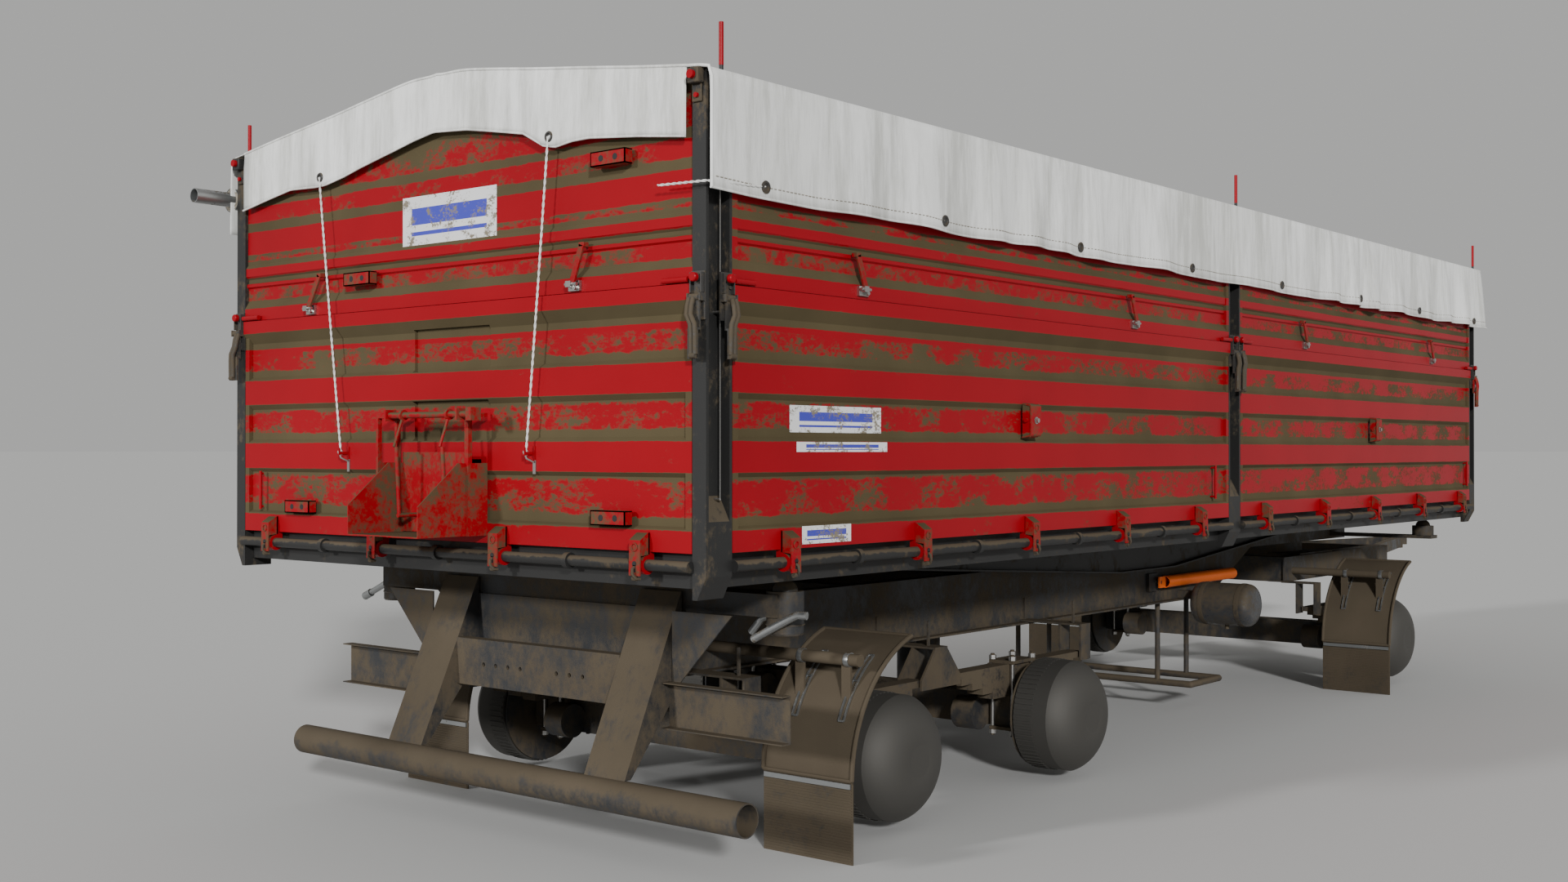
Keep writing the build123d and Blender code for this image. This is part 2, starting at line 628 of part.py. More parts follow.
# ---------------------------------------------------------------- chassis
chassis_start = rear + 560.0
neck_end = front - 137.0
rail_outline = [(chassis_start, rail_bottom), (front - 2187, rail_bottom), (front - 1637, neck_bottom),
                (neck_end, neck_bottom), (neck_end, neck_top), (front - 2237, neck_top),
                (front - 2387, rail_top), (chassis_start, rail_top)]
cross_width = 140.0
cross_bottom = rail_top - 3
cross_top = 940.0
cup_low = 805.0
turntable_radius = 450.0
turntable_wall = 80.0
turntable_ring = 30.0
ring_gap = 0.6
with BuildPart() as chassis_frame:
    for side in (1, -1):
        outer = side * rail_out
        inner = side * (rail_out - rail_width)
        along_x(rail_outline, min(outer, inner), max(outer, inner))
    with BuildSketch(Plane.YZ.offset(-rail_out + rail_wall)) as pocket:
        with BuildLine():
            Polyline(*rail_outline, close=True)
        make_face()
        offset(amount=-rail_wall, mode=Mode.REPLACE)
    extrude(pocket.sketch, amount=2 * (rail_out - rail_wall), mode=Mode.SUBTRACT)
    for y in (rear + 1905, ram_y - 200, ram_y + 200, rear + 4300, front - 2500):
        channel_x(y - 35, y + 35, -rail_out + rail_wall, rail_out - rail_wall, rail_bottom + 9, rail_top - 9, 6)
    for y in (steer_y - 380, steer_y + 380):
        channel_x(y - 30, y + 30, -rail_out + rail_wall, rail_out - rail_wall, neck_bottom, neck_top, 6)
    block(-rail_out, rail_out, chassis_start, chassis_start + 10, rail_bottom, rail_top)
    block(-ball_x - 20, ball_x + 20, tip_y - cross_width / 2, tip_y + cross_width / 2, cross_bottom, cross_top)
    block(-rail_out + rail_wall, rail_out - rail_wall, tip_y - cross_width / 2 + 8, tip_y + cross_width / 2 - 8,
          cross_bottom - 1, cross_top - 8, mode=Mode.SUBTRACT)
    block(-ball_x - 70, ball_x + 70, front_ball_y - 60, front_ball_y + 60, 870, 890)
    for y, low in ((tip_y, cup_low), (front_ball_y, 890)):
        for side in (1, -1):
            rod((side * ball_x, y, low), (side * ball_x, y, tip_z + 5), cup_radius)
            with Locations((side * ball_x, y, tip_z)):
                Sphere(ball_radius + running_fit, mode=Mode.SUBTRACT)
            rod((side * ball_x, y, tip_z), (side * ball_x, y, tip_z + 6), ball_radius + 4, mode=Mode.SUBTRACT)
    for side in (1, -1):
        block(side * 160, side * 190, ram_y - 200, ram_y + 200, ram_pivot_z - 50, ram_pivot_z + 50)
    rod((-191, ram_y, ram_pivot_z), (191, ram_y, ram_pivot_z), trunnion_radius + running_fit, mode=Mode.SUBTRACT)
    rod((0, steer_y, neck_bottom - turntable_ring), (0, steer_y, neck_bottom), turntable_radius)
    rod((0, steer_y, neck_bottom - turntable_ring - 1), (0, steer_y, neck_bottom), turntable_radius - turntable_wall,
        mode=Mode.SUBTRACT)
save(chassis_frame, "chassis_frame")

hanger_wide = 60.0
with BuildPart() as right_hangers:
    rocker_reach = (middle_axle_y - rear_axle_y) / 2 - spring_half + 45
    for y, reach in ((rear_axle_y - spring_half, 45), ((rear_axle_y + middle_axle_y) / 2, rocker_reach),
                     (middle_axle_y + spring_half, 45)):
        block(rail_out, spring_x + hanger_wide, y - 45, y + 45, rail_bottom + 10, rail_bottom + 18)
        for x in (spring_x - hanger_wide, spring_x + hanger_wide - 10):
            along_x([(y - 45, rail_bottom + 10), (y + 45, rail_bottom + 10), (y + reach, spring_z + leaf * leaves),
                     (y + reach, spring_z + leaf * leaves - 40), (y - reach, spring_z + leaf * leaves - 40),
                     (y - reach, spring_z + leaf * leaves)], x, x + 10)
        for x in (rail_out, spring_x - 10):
            along_x([(y - 6, rail_bottom + 18), (y + 6, rail_bottom + 18), (y + 6, rail_bottom + 120),
                     (y - 6, rail_bottom + 120)], x, x + 8)
spring_hangers = both_sides(right_hangers)
save(spring_hangers, "spring_hangers")


def axle(y):
    """A square axle with round spindles and the two brake backing plates."""
    block(-drum_in + 30, drum_in - 30, y - beam / 2, y + beam / 2, axle_z - beam / 2, axle_z + beam / 2)
    block(-drum_in + 60, drum_in - 60, y - beam / 2 + 12, y + beam / 2 - 12, axle_z - beam / 2 + 12,
          axle_z + beam / 2 - 12, mode=Mode.SUBTRACT)
    rod((-drum_in + 60, y, axle_z), (-drum_in + 60, y, axle_z - beam), 5, mode=Mode.SUBTRACT)
    for side in (1, -1):
        rod((side * (drum_in - 30), y, axle_z), (side * (drum_out - 25), y, axle_z), spindle_radius)
        rod((side * (drum_in - 18), y, axle_z), (side * (drum_in - 10), y, axle_z), drum_radius - 6)
        chamber_y = y - beam / 2 - brake_radius + 6
        rod((side * (drum_in - 340), chamber_y, axle_z - 12), (side * (drum_in - 230), chamber_y, axle_z - 12),
            brake_radius)


def spring_pack(y):
    """Stacked leaves, shorter from the top leaf down."""
    for i in range(leaves):
        reach = spring_half * (1 - 0.15 * i)
        z = spring_z + leaf * (leaves - 1 - i)
        block(spring_x - leaf_width / 2, spring_x + leaf_width / 2, y - reach, y + reach, z, z + leaf)


def spring_clamp(y):
    """Two U-bolts with their plates round a spring and an axle."""
    high = spring_z + leaf * leaves
    plate = leaf_width / 2 + 21
    block(spring_x - plate, spring_x + plate, y - 95, y + 95, high, high + 14)
    block(spring_x - plate, spring_x + plate, y - 95, y + 95, axle_z - beam / 2 - 14, axle_z - beam / 2)
    for dx in (10 - plate, plate - 10):
        for dy in (-82, 82):
            rod((spring_x + dx, y + dy, axle_z - beam / 2 - 40), (spring_x + dx, y + dy, high + 40), 9)


with BuildPart() as rear_axles:
    axle(rear_axle_y)
    axle(middle_axle_y)
save(rear_axles, "rear_axles")
with BuildPart() as right_springs:
    spring_pack(rear_axle_y)
    spring_pack(middle_axle_y)
with BuildPart() as right_clamps:
    spring_clamp(rear_axle_y)
    spring_clamp(middle_axle_y)
save_group("rear_springs", both_sides(right_springs), both_sides(right_clamps))

drum_wall = 14.0
for row, y in (("rear", rear_axle_y), ("middle", middle_axle_y), ("front", steer_y)):
    with BuildPart() as drum:
        with BuildSketch(Plane.XZ) as profile:
            with BuildLine():
                Polyline((drum_out - drum_wall, 0), (drum_out, 0), (drum_out, 60))
                ThreePointArc((drum_out, 60), (drum_out - 32, drum_radius - 50), (drum_out - 95, drum_radius))
                Polyline((drum_out - 95, drum_radius), (drum_in, drum_radius), (drum_in, drum_radius - drum_wall),
                         (drum_out - 100, drum_radius - drum_wall))
                ThreePointArc((drum_out - 100, drum_radius - drum_wall), (drum_out - 46, drum_radius - 64),
                              (drum_out - drum_wall, 55))
                Polyline((drum_out - drum_wall, 55), (drum_out - 170, 55),
                         (drum_out - 170, spindle_radius + running_fit),
                         (drum_out - drum_wall, spindle_radius + running_fit), (drum_out - drum_wall, 0))
            make_face()
        revolve(axis=Axis.X)
    with BuildPart() as placed:
        add(drum.part.moved(Location((0, y, axle_z))))
    save(placed, f"drum_right_{row}")
    save(left_copy(placed), f"drum_left_{row}")

# ---------------------------------------------------------------- mudguards and flaps
guard_sheet = 4.0


def guard(y):
    """A quarter guard behind a wheel, with its support tube."""
    centre = (y, axle_z)
    with BuildSketch(Plane.YZ.offset(guard_in)) as arch:
        with BuildLine():
            CenterArc(centre, guard_radius, 107, 73)
            CenterArc(centre, guard_radius - guard_sheet, 107, 73)
            Line(PolarLine(centre, guard_radius - guard_sheet, 107, mode=Mode.PRIVATE) @ 1,
                 PolarLine(centre, guard_radius, 107, mode=Mode.PRIVATE) @ 1)
            Line((y - guard_radius, axle_z), (y - guard_radius + guard_sheet, axle_z))
        make_face()
    extrude(arch.sketch, amount=guard_out - guard_in)
    surface = axle_z + (guard_radius ** 2 - tube_back ** 2) ** 0.5
    for x in (guard_in + 80, guard_out - 110):
        block(x, x + 40, y - tube_back - 5, y - tube_back + 5, surface - 12, tube_z)


def flap(y):
    """A rubber flap hung from the guard's lower edge."""
    block(guard_in, guard_out, y - guard_radius, y - guard_radius + flap_sheet, 0, axle_z - 0.5)


with BuildPart() as right_guards:
    guard(rear_axle_y)
    rod((rail_out, rear_axle_y - tube_back, tube_z), (guard_out - 30, rear_axle_y - tube_back, tube_z), tube_radius)
save(both_sides(right_guards), "rear_mudguards")
with BuildPart() as right_flap:
    flap(rear_axle_y)
save(both_sides(right_flap), "rear_flaps")

# ---------------------------------------------------------------- rear underrun bar, lamps and hitch plate
strut_in = 450.0
strut_out = 650.0
strut_high = 930.0
with BuildPart() as right_strut:
    top_y = chassis_start - 4
    tube_top = underrun_z + underrun_radius
    slope = [(top_y, strut_high), (underrun_y, tube_top), (underrun_y + 30, tube_top), (top_y + 4, 610),
             (top_y + 4, strut_high)]
    for x in (strut_in, strut_out - 8):
        along_x(slope, x, x + 8)
    along_x([(top_y, strut_high), (underrun_y, tube_top), (underrun_y + 8, tube_top), (top_y + 4, strut_high - 11),
             (top_y + 4, strut_high)], strut_in, strut_out)
    channel_x(rear + 500, rear + 455, strut_out, 1200, 457, 619, 4)
with BuildPart() as underrun_frame:
    add(both_sides(right_strut).part)
    channel_x(rear + 448, rear + 500, -strut_in, strut_in, 520, 700, 10)
    for x in (-290, -220, -150, -80, 120, 190, 260):
        rod((x, rear + 440, 605), (x, rear + 470, 605), 8.5, mode=Mode.SUBTRACT)
save(underrun_frame, "underrun_frame")

with BuildPart() as underrun_tube:
    rod((-underrun_half, underrun_y, underrun_z), (underrun_half, underrun_y, underrun_z), underrun_radius)
    rod((-underrun_half - 1, underrun_y, underrun_z), (underrun_half + 1, underrun_y, underrun_z),
        underrun_radius - 5, mode=Mode.SUBTRACT)
save(underrun_tube, "underrun_tube")

# ---------------------------------------------------------------- things hung on the chassis
tank_y = rear + 4800.0
tank_z = 591.0
tank_radius = 115.0
with BuildPart() as air_tank:
    rod((580, tank_y, tank_z), (925, tank_y, tank_z), tank_radius)
    fillet(air_tank.edges().filter_by(GeomType.CIRCLE), 45)
    block(rail_out, 640, tank_y - 20, tank_y + 20, tank_z + 20, tank_z + 60)
save(air_tank, "air_tank")

prop_y = rear + 4540.0
prop_radius = 32.5
prop_x = rail_out + 12 + prop_radius
with BuildPart() as safety_prop:
    rod((prop_x, prop_y, 716), (prop_x, prop_y + 850, 716), prop_radius)
    rod((prop_x, prop_y - 1, 716), (prop_x, prop_y + 851, 716), prop_radius - 4, mode=Mode.SUBTRACT)
    block(prop_x - 4, prop_x + 4, prop_y - 70, prop_y + 3, 716 - 30, 716 + 30)
    rod((prop_x - 5, prop_y - 45, 716), (prop_x + 5, prop_y - 45, 716), 11, mode=Mode.SUBTRACT)
    for y in (prop_y + 120, prop_y + 700):
        block(rail_out, prop_x - prop_radius + 3, y - 20, y + 20, 700, 732)
save(safety_prop, "safety_prop")

cradle_z = 161.0
cradle_half = 640.0
cradle_y = (rear + 4600.0, rear + 4950.0)
tube = 18.0
with BuildPart() as spare_wheel_cradle:
    for y in cradle_y:
        rod((-cradle_half, y, cradle_z), (cradle_half, y, cradle_z), tube)
    for side in (1, -1):
        rod((side * cradle_half, cradle_y[0], cradle_z), (side * cradle_half, cradle_y[1], cradle_z), tube)
        for y in cradle_y:
            rod((side * (rail_out - 30), y, cradle_z), (side * (rail_out - 30), y, rail_bottom), tube - 4)
            with Locations((side * cradle_half, y, cradle_z)):
                Sphere(tube)
save(spare_wheel_cradle, "spare_wheel_cradle")

hose_radius = 8.0
hose_y = middle_axle_y - 60.0  # where the hoses meet the middle axle
hose_loops = [
    [(420, hose_y - 230, 601), (420, hose_y - 230, 520), (380, hose_y - 110, 430), (330, hose_y, 430),
     (330, hose_y, 352)],
    [(-420, hose_y - 230, 601), (-420, hose_y - 230, 520), (-380, hose_y - 110, 430), (-330, hose_y, 430),
     (-330, hose_y, 352)],
]
with BuildPart() as brake_hoses:
    for loop in hose_loops:
        with BuildLine() as hose:
            FilletPolyline(*loop, radius=32)
        with BuildSketch(Plane(origin=loop[0], z_dir=hose.line % 0)) as circle:
            Circle(hose_radius)
        sweep(circle.sketch, path=hose.line)
save(brake_hoses, "brake_hoses")

# ---------------------------------------------------------------- ram
ram_low = 160.0
ram_high = 840.0
with BuildPart() as ram_barrel:
    rod((0, ram_y, ram_low), (0, ram_y, ram_high), ram_radius)
    rod((0, ram_y, ram_low + 15), (0, ram_y, ram_high + 1), ram_radius - ram_wall, mode=Mode.SUBTRACT)
    for side in (1, -1):
        rod((side * (ram_radius - 4), ram_y, ram_pivot_z), (side * 192, ram_y, ram_pivot_z), trunnion_radius)
save(ram_barrel, "ram_barrel")
for stage in (1, 2, 3):
    outer = ram_radius - stage * ram_wall - (stage * 2 - 1) * running_fit
    with BuildPart() as ram_stage:
        low = ram_low + 15 + stage * 8
        rod((0, ram_y, low), (0, ram_y, ram_high + stage * 15), outer)
        if stage < 3:
            rod((0, ram_y, low + 7), (0, ram_y, ram_high + stage * 15 + 1), outer - ram_wall + running_fit,
                mode=Mode.SUBTRACT)
        else:
            rod((0, ram_y, low - 1), (0, ram_y, ram_high), outer - ram_wall, mode=Mode.SUBTRACT)
            rod((0, ram_y, ram_high), (0, ram_y, tip_z), 30)
            with Locations((0, ram_y, tip_z)):
                Sphere(38)
    save(ram_stage, f"ram_stage_{stage}")

# ---------------------------------------------------------------- front dolly and drawbar
drawbar_fit = 0.4
dolly_rail_in = 500.0
dolly_rail_out = 600.0
dolly_low = 631.0
dolly_high = 781.0
dolly_back = steer_y - 550.0
dolly_front = steer_y + 1200.0
ring_top = neck_bottom - turntable_ring - ring_gap
with BuildPart() as dolly_frame:
    for side in (1, -1):
        channel_y(side * dolly_rail_out, side * dolly_rail_in, dolly_back, dolly_front, dolly_low, dolly_high, 8)
    for y in (dolly_back + 60, steer_y, dolly_front - 60):
        channel_x(y - 45, y + 45, -dolly_rail_out + 8, dolly_rail_out - 8, dolly_low, dolly_high, 6)
    for side in (1, -1):
        block(side * 340, side * (dolly_rail_out - 20), steer_y - 260, steer_y + 260, dolly_high, dolly_high + 10)
    rod((0, steer_y, dolly_high), (0, steer_y, ring_top), turntable_radius)
    rod((0, steer_y, dolly_high - 1), (0, steer_y, ring_top + 1), turntable_radius - turntable_wall,
        mode=Mode.SUBTRACT)
    for side in (1, -1):
        for y in (steer_y - spring_half, steer_y + spring_half):
            block(side * dolly_rail_out, side * (spring_x + 60), y - 45, y + 45, dolly_low, dolly_low + 8)
            for x in (spring_x - 60, spring_x + 50):
                block(side * x, side * (x + 10), y - 45, y + 45, spring_z + leaf * leaves - 40, dolly_low + 8)
        for x in (364, 440):
            block(side * x, side * (x + 16), dolly_front - 2, dolly_front + 90, 660, 752)
    rod((-470, dolly_front + 50, 706), (470, dolly_front + 50, 706), 20.0 + drawbar_fit, mode=Mode.SUBTRACT)
save(dolly_frame, "dolly_frame")

with BuildPart() as front_axle:
    axle(steer_y)
save(front_axle, "front_axle")
with BuildPart() as front_spring:
    spring_pack(steer_y)
with BuildPart() as front_clamp:
    spring_clamp(steer_y)
save_group("front_springs", both_sides(front_spring), both_sides(front_clamp))
with BuildPart() as front_guard:
    guard(steer_y)
    rod((dolly_rail_out, steer_y - tube_back, tube_z), (guard_out - 30, steer_y - tube_back, tube_z), tube_radius)
save(both_sides(front_guard), "front_mudguards")
with BuildPart() as front_flap:
    flap(steer_y)
save(both_sides(front_flap), "front_flaps")

hitch_y = dolly_front + 1950.0
bar_z = 706.0
with BuildPart() as drawbar:
    for side in (1, -1):
        arm = [(side * 400, dolly_front + 60), (side * 436, dolly_front + 60), (side * 70, hitch_y - 160),
               (side * 10, hitch_y - 160)]
        with BuildSketch(Plane.XY.offset(bar_z - 40)) as leg:
            with BuildLine():
                Polyline(*arm, close=True)
            make_face()
        extrude(leg.sketch, amount=80)
        rod((side * 399, dolly_front + 50, bar_z), (side * 437, dolly_front + 50, bar_z), 40)
        rod((side * 372, dolly_front + 50, bar_z), (side * 456, dolly_front + 50, bar_z), 20)
    block(-330, 330, dolly_front + 420, dolly_front + 480, bar_z - 40, bar_z + 40)
    block(-70, 70, hitch_y - 180, hitch_y - 120, bar_z - 45, bar_z + 45)
    rod((0, hitch_y - 121, bar_z), (0, hitch_y - 50, bar_z), 32)
    rod((0, hitch_y, bar_z - 25), (0, hitch_y, bar_z + 25), 58)
    rod((0, hitch_y, bar_z - 26), (0, hitch_y, bar_z + 26), 20, mode=Mode.SUBTRACT)
save(drawbar, "drawbar")
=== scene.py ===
"""Grain trailer: paint, dust, cloth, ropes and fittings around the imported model. Everything is in metres."""

import math

import bmesh
import bpy
from bpy.props import FloatProperty, FloatVectorProperty, IntProperty, PointerProperty
from bpy.types import Operator, Panel, PropertyGroup
from mathutils import Matrix, Vector, noise


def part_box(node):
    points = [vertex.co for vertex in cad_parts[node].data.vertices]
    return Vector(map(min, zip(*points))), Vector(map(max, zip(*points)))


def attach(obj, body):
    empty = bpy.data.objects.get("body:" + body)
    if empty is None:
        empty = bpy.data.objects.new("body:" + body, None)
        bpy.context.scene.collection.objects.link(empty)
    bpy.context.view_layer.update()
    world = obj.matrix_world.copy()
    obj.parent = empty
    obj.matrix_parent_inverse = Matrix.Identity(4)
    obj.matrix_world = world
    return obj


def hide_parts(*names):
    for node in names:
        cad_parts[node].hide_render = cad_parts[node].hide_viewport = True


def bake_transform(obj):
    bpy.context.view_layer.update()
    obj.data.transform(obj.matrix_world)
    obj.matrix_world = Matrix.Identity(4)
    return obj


bl_info = {
    "name": "Grain trailer",
    "version": (1, 0, 0),
    "blender": (4, 5, 0),
    "location": "3D View > Sidebar > Trailer",
    "description": "Builds the visual model of a tarp-covered tipping grain trailer",
    "category": "Add Mesh",
}

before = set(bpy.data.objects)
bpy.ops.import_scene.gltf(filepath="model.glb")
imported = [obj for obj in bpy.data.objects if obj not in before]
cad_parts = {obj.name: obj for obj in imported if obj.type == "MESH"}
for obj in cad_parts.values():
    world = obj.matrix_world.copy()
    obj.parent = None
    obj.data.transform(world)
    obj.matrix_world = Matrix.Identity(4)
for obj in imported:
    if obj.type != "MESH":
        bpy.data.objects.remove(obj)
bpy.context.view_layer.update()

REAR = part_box("side_board_right_rear")[0].y - 0.123  # rear face of the box
HALF = 1.275  # outer face of the raised bands
BOARD_BOTTOM = 1.1125
BOARD_HEIGHT = 0.832
UPPER_BOTTOM = 1.9475
UPPER_HEIGHT = 0.622
EAVE = 2.606
RIDGE = 2.785
ROOF_HALF = 1.297
ROOF_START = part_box("tarp")[0].y
ROOF_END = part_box("tarp")[1].y
FLAP_HALF = 1.205  # half the width of the end flaps
SIDE_HEM = 2.228
EYELET_Z = 2.262
ROLL_X = -1.330
ROLL_Z = 2.446
HEM_STEPS = 230
PIN_HEIGHT = 1.961
AXLE_Z = 0.281
AXLES = {"rear": REAR + 1.310, "middle": REAR + 2.605, "front": 1.789}
TIP_Y = REAR + 0.640
BALL_X = 1.060
SHORT_PIN_Z = 1.957
BOARD_PIN_SPANS = ((-4.592, -4.498), (-1.108, -1.010), (-0.881, -0.783), (2.481, 2.578))
EYE = (4.691, -8.470, 1.431)
FLOOR_HALF = 1800
SHARP_ANGLE = 38.0
POST_MIDS = (REAR + 0.060, REAR + 3.7655, 2.6275)
BOARD_STARTS = {"rear": REAR + 0.123, "front": REAR + 3.832}
HINGE_STEP = 0.744
TAIL_HINGES = (-1.012, -0.337, 0.337, 1.012)
EYELETS = (0.247, 1.248, 2.252, 3.263, 4.277, 5.266, 6.267, 7.303)
REAR_EYELETS = ((-0.680, 2.466), (0.594, 2.468))
REAR_HEM = (
    (-1.205, 2.388), (-1.017, 2.419), (-0.879, 2.440), (-0.720, 2.434), (-0.651, 2.436), (-0.538, 2.455),
    (-0.438, 2.478), (-0.243, 2.516), (-0.125, 2.540), (-0.010, 2.558), (0.168, 2.545), (0.297, 2.524),
    (0.463, 2.495), (0.564, 2.442), (0.623, 2.432), (0.701, 2.442), (0.778, 2.443), (1.000, 2.422),
    (1.205, 2.397),
)


# ---------------------------------------------------------------- sizes and colours


class TrailerFinish(PropertyGroup):
    """Colours of the trailer and of what has settled on it."""

    red: FloatVectorProperty(
        name="Red paint", description="Boards, hinges and chute", subtype="COLOR", default=(0.290, 0.0034, 0.0100)
    )
    frame_grey: FloatVectorProperty(
        name="Frame paint", description="Posts and box frame", subtype="COLOR", default=(0.021, 0.0208, 0.0202)
    )
    mud: FloatVectorProperty(
        name="Dried mud", description="Mud on the undercarriage", subtype="COLOR", default=(0.084, 0.067, 0.046)
    )
    # This colour also stands for the painted shade under the boards' bands and top lip.
    dust: FloatVectorProperty(
        name="Dust", description="Dust in the recesses of the boards", subtype="COLOR",
        default=(0.085, 0.067, 0.035)
    )
    cloth: FloatVectorProperty(
        name="Cloth", description="Coated cover cloth", subtype="COLOR", default=(0.93, 0.935, 0.925)
    )
    orange: FloatVectorProperty(
        name="Orange paint", description="Safety prop", subtype="COLOR", default=(0.80, 0.085, 0.006)
    )


class TrailerShape(PropertyGroup):
    """Sizes of the parts that are made here."""

    fold_depth: FloatProperty(
        name="Fold depth", description="How far the cover's folds stand out at its hem", default=0.042,
        unit="LENGTH",
    )
    cloth_thickness: FloatProperty(
        name="Cloth thickness", description="Thickness of the cover", default=0.003, unit="LENGTH"
    )
    rope_radius: FloatProperty(
        name="Strand radius", description="Radius of one strand of a rope", default=0.0024, unit="LENGTH"
    )
    flap_ribs: IntProperty(name="Flap ribs", description="Ribs across each mudflap", default=26, min=2)


class TrailerStage(PropertyGroup):
    """Camera and light."""

    lens: FloatProperty(name="Lens", description="Focal length in millimetres", default=38.175)
    yaw: FloatProperty(name="Yaw", description="View direction left of ahead", subtype="ANGLE",
                       default=math.radians(39.58))
    pitch: FloatProperty(name="Pitch", description="View direction above level", subtype="ANGLE",
                         default=math.radians(0.324))
    rear_light: FloatProperty(name="Rear light", description="Strength of the light on the tailgate",
                              default=1.75)
    side_light: FloatProperty(name="Side light", description="Strength of the light on the right side",
                              default=2.90)
    sky: FloatProperty(name="Sky", description="Strength of the light from all round", default=1.0)


# ---------------------------------------------------------------- mesh helpers


def block(bm, low, high):
    """A box between two corners."""
    xs, ys, zs = zip(low, high)
    v = [bm.verts.new((x, y, z)) for x in sorted(xs) for y in sorted(ys) for z in sorted(zs)]
    for a, b, c, d in ((0, 1, 3, 2), (4, 6, 7, 5), (0, 4, 5, 1), (2, 3, 7, 6), (0, 2, 6, 4), (1, 5, 7, 3)):
        bm.faces.new((v[a], v[b], v[c], v[d]))


def prism(bm, outline, axis, low, high):
    """An outline of two-number points, drawn out along x, y or z."""
    def at(point, place):
        p = list(point)
        p.insert("xyz".index(axis), place)
        return bm.verts.new(p)

    near = [at(p, low) for p in outline]
    far = [at(p, high) for p in outline]
    bm.faces.new(near)
    bm.faces.new(list(reversed(far)))
    for i in range(len(outline)):
        j = (i + 1) % len(outline)
        bm.faces.new((near[j], near[i], far[i], far[j]))


def tube(bm, points, radius, sides=10, radii=None):
    """A round bar through points, capped at its ends."""
    points = [Vector(p) for p in points]
    rings = []
    side = None
    for i, p in enumerate(points):
        ahead = points[min(i + 1, len(points) - 1)] - points[max(i - 1, 0)]
        ahead.normalize()
        if side is None:
            side = ahead.orthogonal().normalized()
        side = (side - ahead * side.dot(ahead)).normalized()
        up = ahead.cross(side)
        r = radii[i] if radii else radius
        rings.append([
            bm.verts.new(p + (side * math.cos(a) + up * math.sin(a)) * r)
            for a in (2 * math.pi * k / sides for k in range(sides))
        ])
    for a, b in zip(rings, rings[1:]):
        for k in range(sides):
            n = (k + 1) % sides
            bm.faces.new((a[k], a[n], b[n], b[k]))
    bm.faces.new(list(reversed(rings[0])))
    bm.faces.new(rings[-1])


def ring(bm, centre, normal, radius, thick, around=20, sides=6, squash=1.0):
    """A closed round ring."""
    turn = Vector(normal).to_track_quat("Z", "Y")
    rings = []
    for i in range(around):
        a = 2 * math.pi * i / around
        out = Vector((math.cos(a), math.sin(a), 0))
        rings.append([
            bm.verts.new(Vector(centre) + turn @ (
                out * (radius + thick * math.cos(b)) + Vector((0, 0, thick * squash * math.sin(b)))))
            for b in (2 * math.pi * k / sides for k in range(sides))
        ])
    for i in range(around):
        a, b = rings[i], rings[(i + 1) % around]
        for k in range(sides):
            n = (k + 1) % sides
            bm.faces.new((a[k], b[k], b[n], a[n]))


def skin(bm, rows):
    """Faces between rows of vertices."""
    for a, b in zip(rows, rows[1:]):
        for p, q, r, s in zip(a, a[1:], b[1:], b):
            bm.faces.new((p, q, r, s))


def mesh_from(bm, name):
    """A mesh of what a bmesh holds."""
    mesh = bpy.data.meshes.new(name)
    bm.to_mesh(mesh)
    bm.free()
    return mesh


def piece(name, bm, body, finish, bevel=0.0, angle=SHARP_ANGLE, replaces=()):
    """Turns a bmesh into a finished piece that rides on a body."""
    bmesh.ops.recalc_face_normals(bm, faces=bm.faces)
    return settle(name, mesh_from(bm, name), body, finish, bevel, angle, replaces)


def settle(name, mesh, body, finish, bevel=0.0, angle=SHARP_ANGLE, replaces=()):
    """Gives a mesh its object, material, shading and body."""
    mesh.shade_smooth()
    mesh.set_sharp_from_angle(angle=math.radians(angle))
    obj = bpy.data.objects.new(name, mesh)
    bpy.context.scene.collection.objects.link(obj)
    mesh.materials.clear()
    mesh.materials.append(material(finish))
    if bevel:
        mod = obj.modifiers.new("Rounded edges", "BEVEL")
        mod.width = bevel
        mod.segments = 2
        mod.limit_method = "ANGLE"
        mod.angle_limit = math.radians(40)
    if body:
        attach(obj, body)
    if replaces:
        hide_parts(*replaces)
    return obj


def mirrored(points):
    """The same points on the trailer's left."""
    return [(-x, y, z) for x, y, z in points]


# ---------------------------------------------------------------- repeated fittings


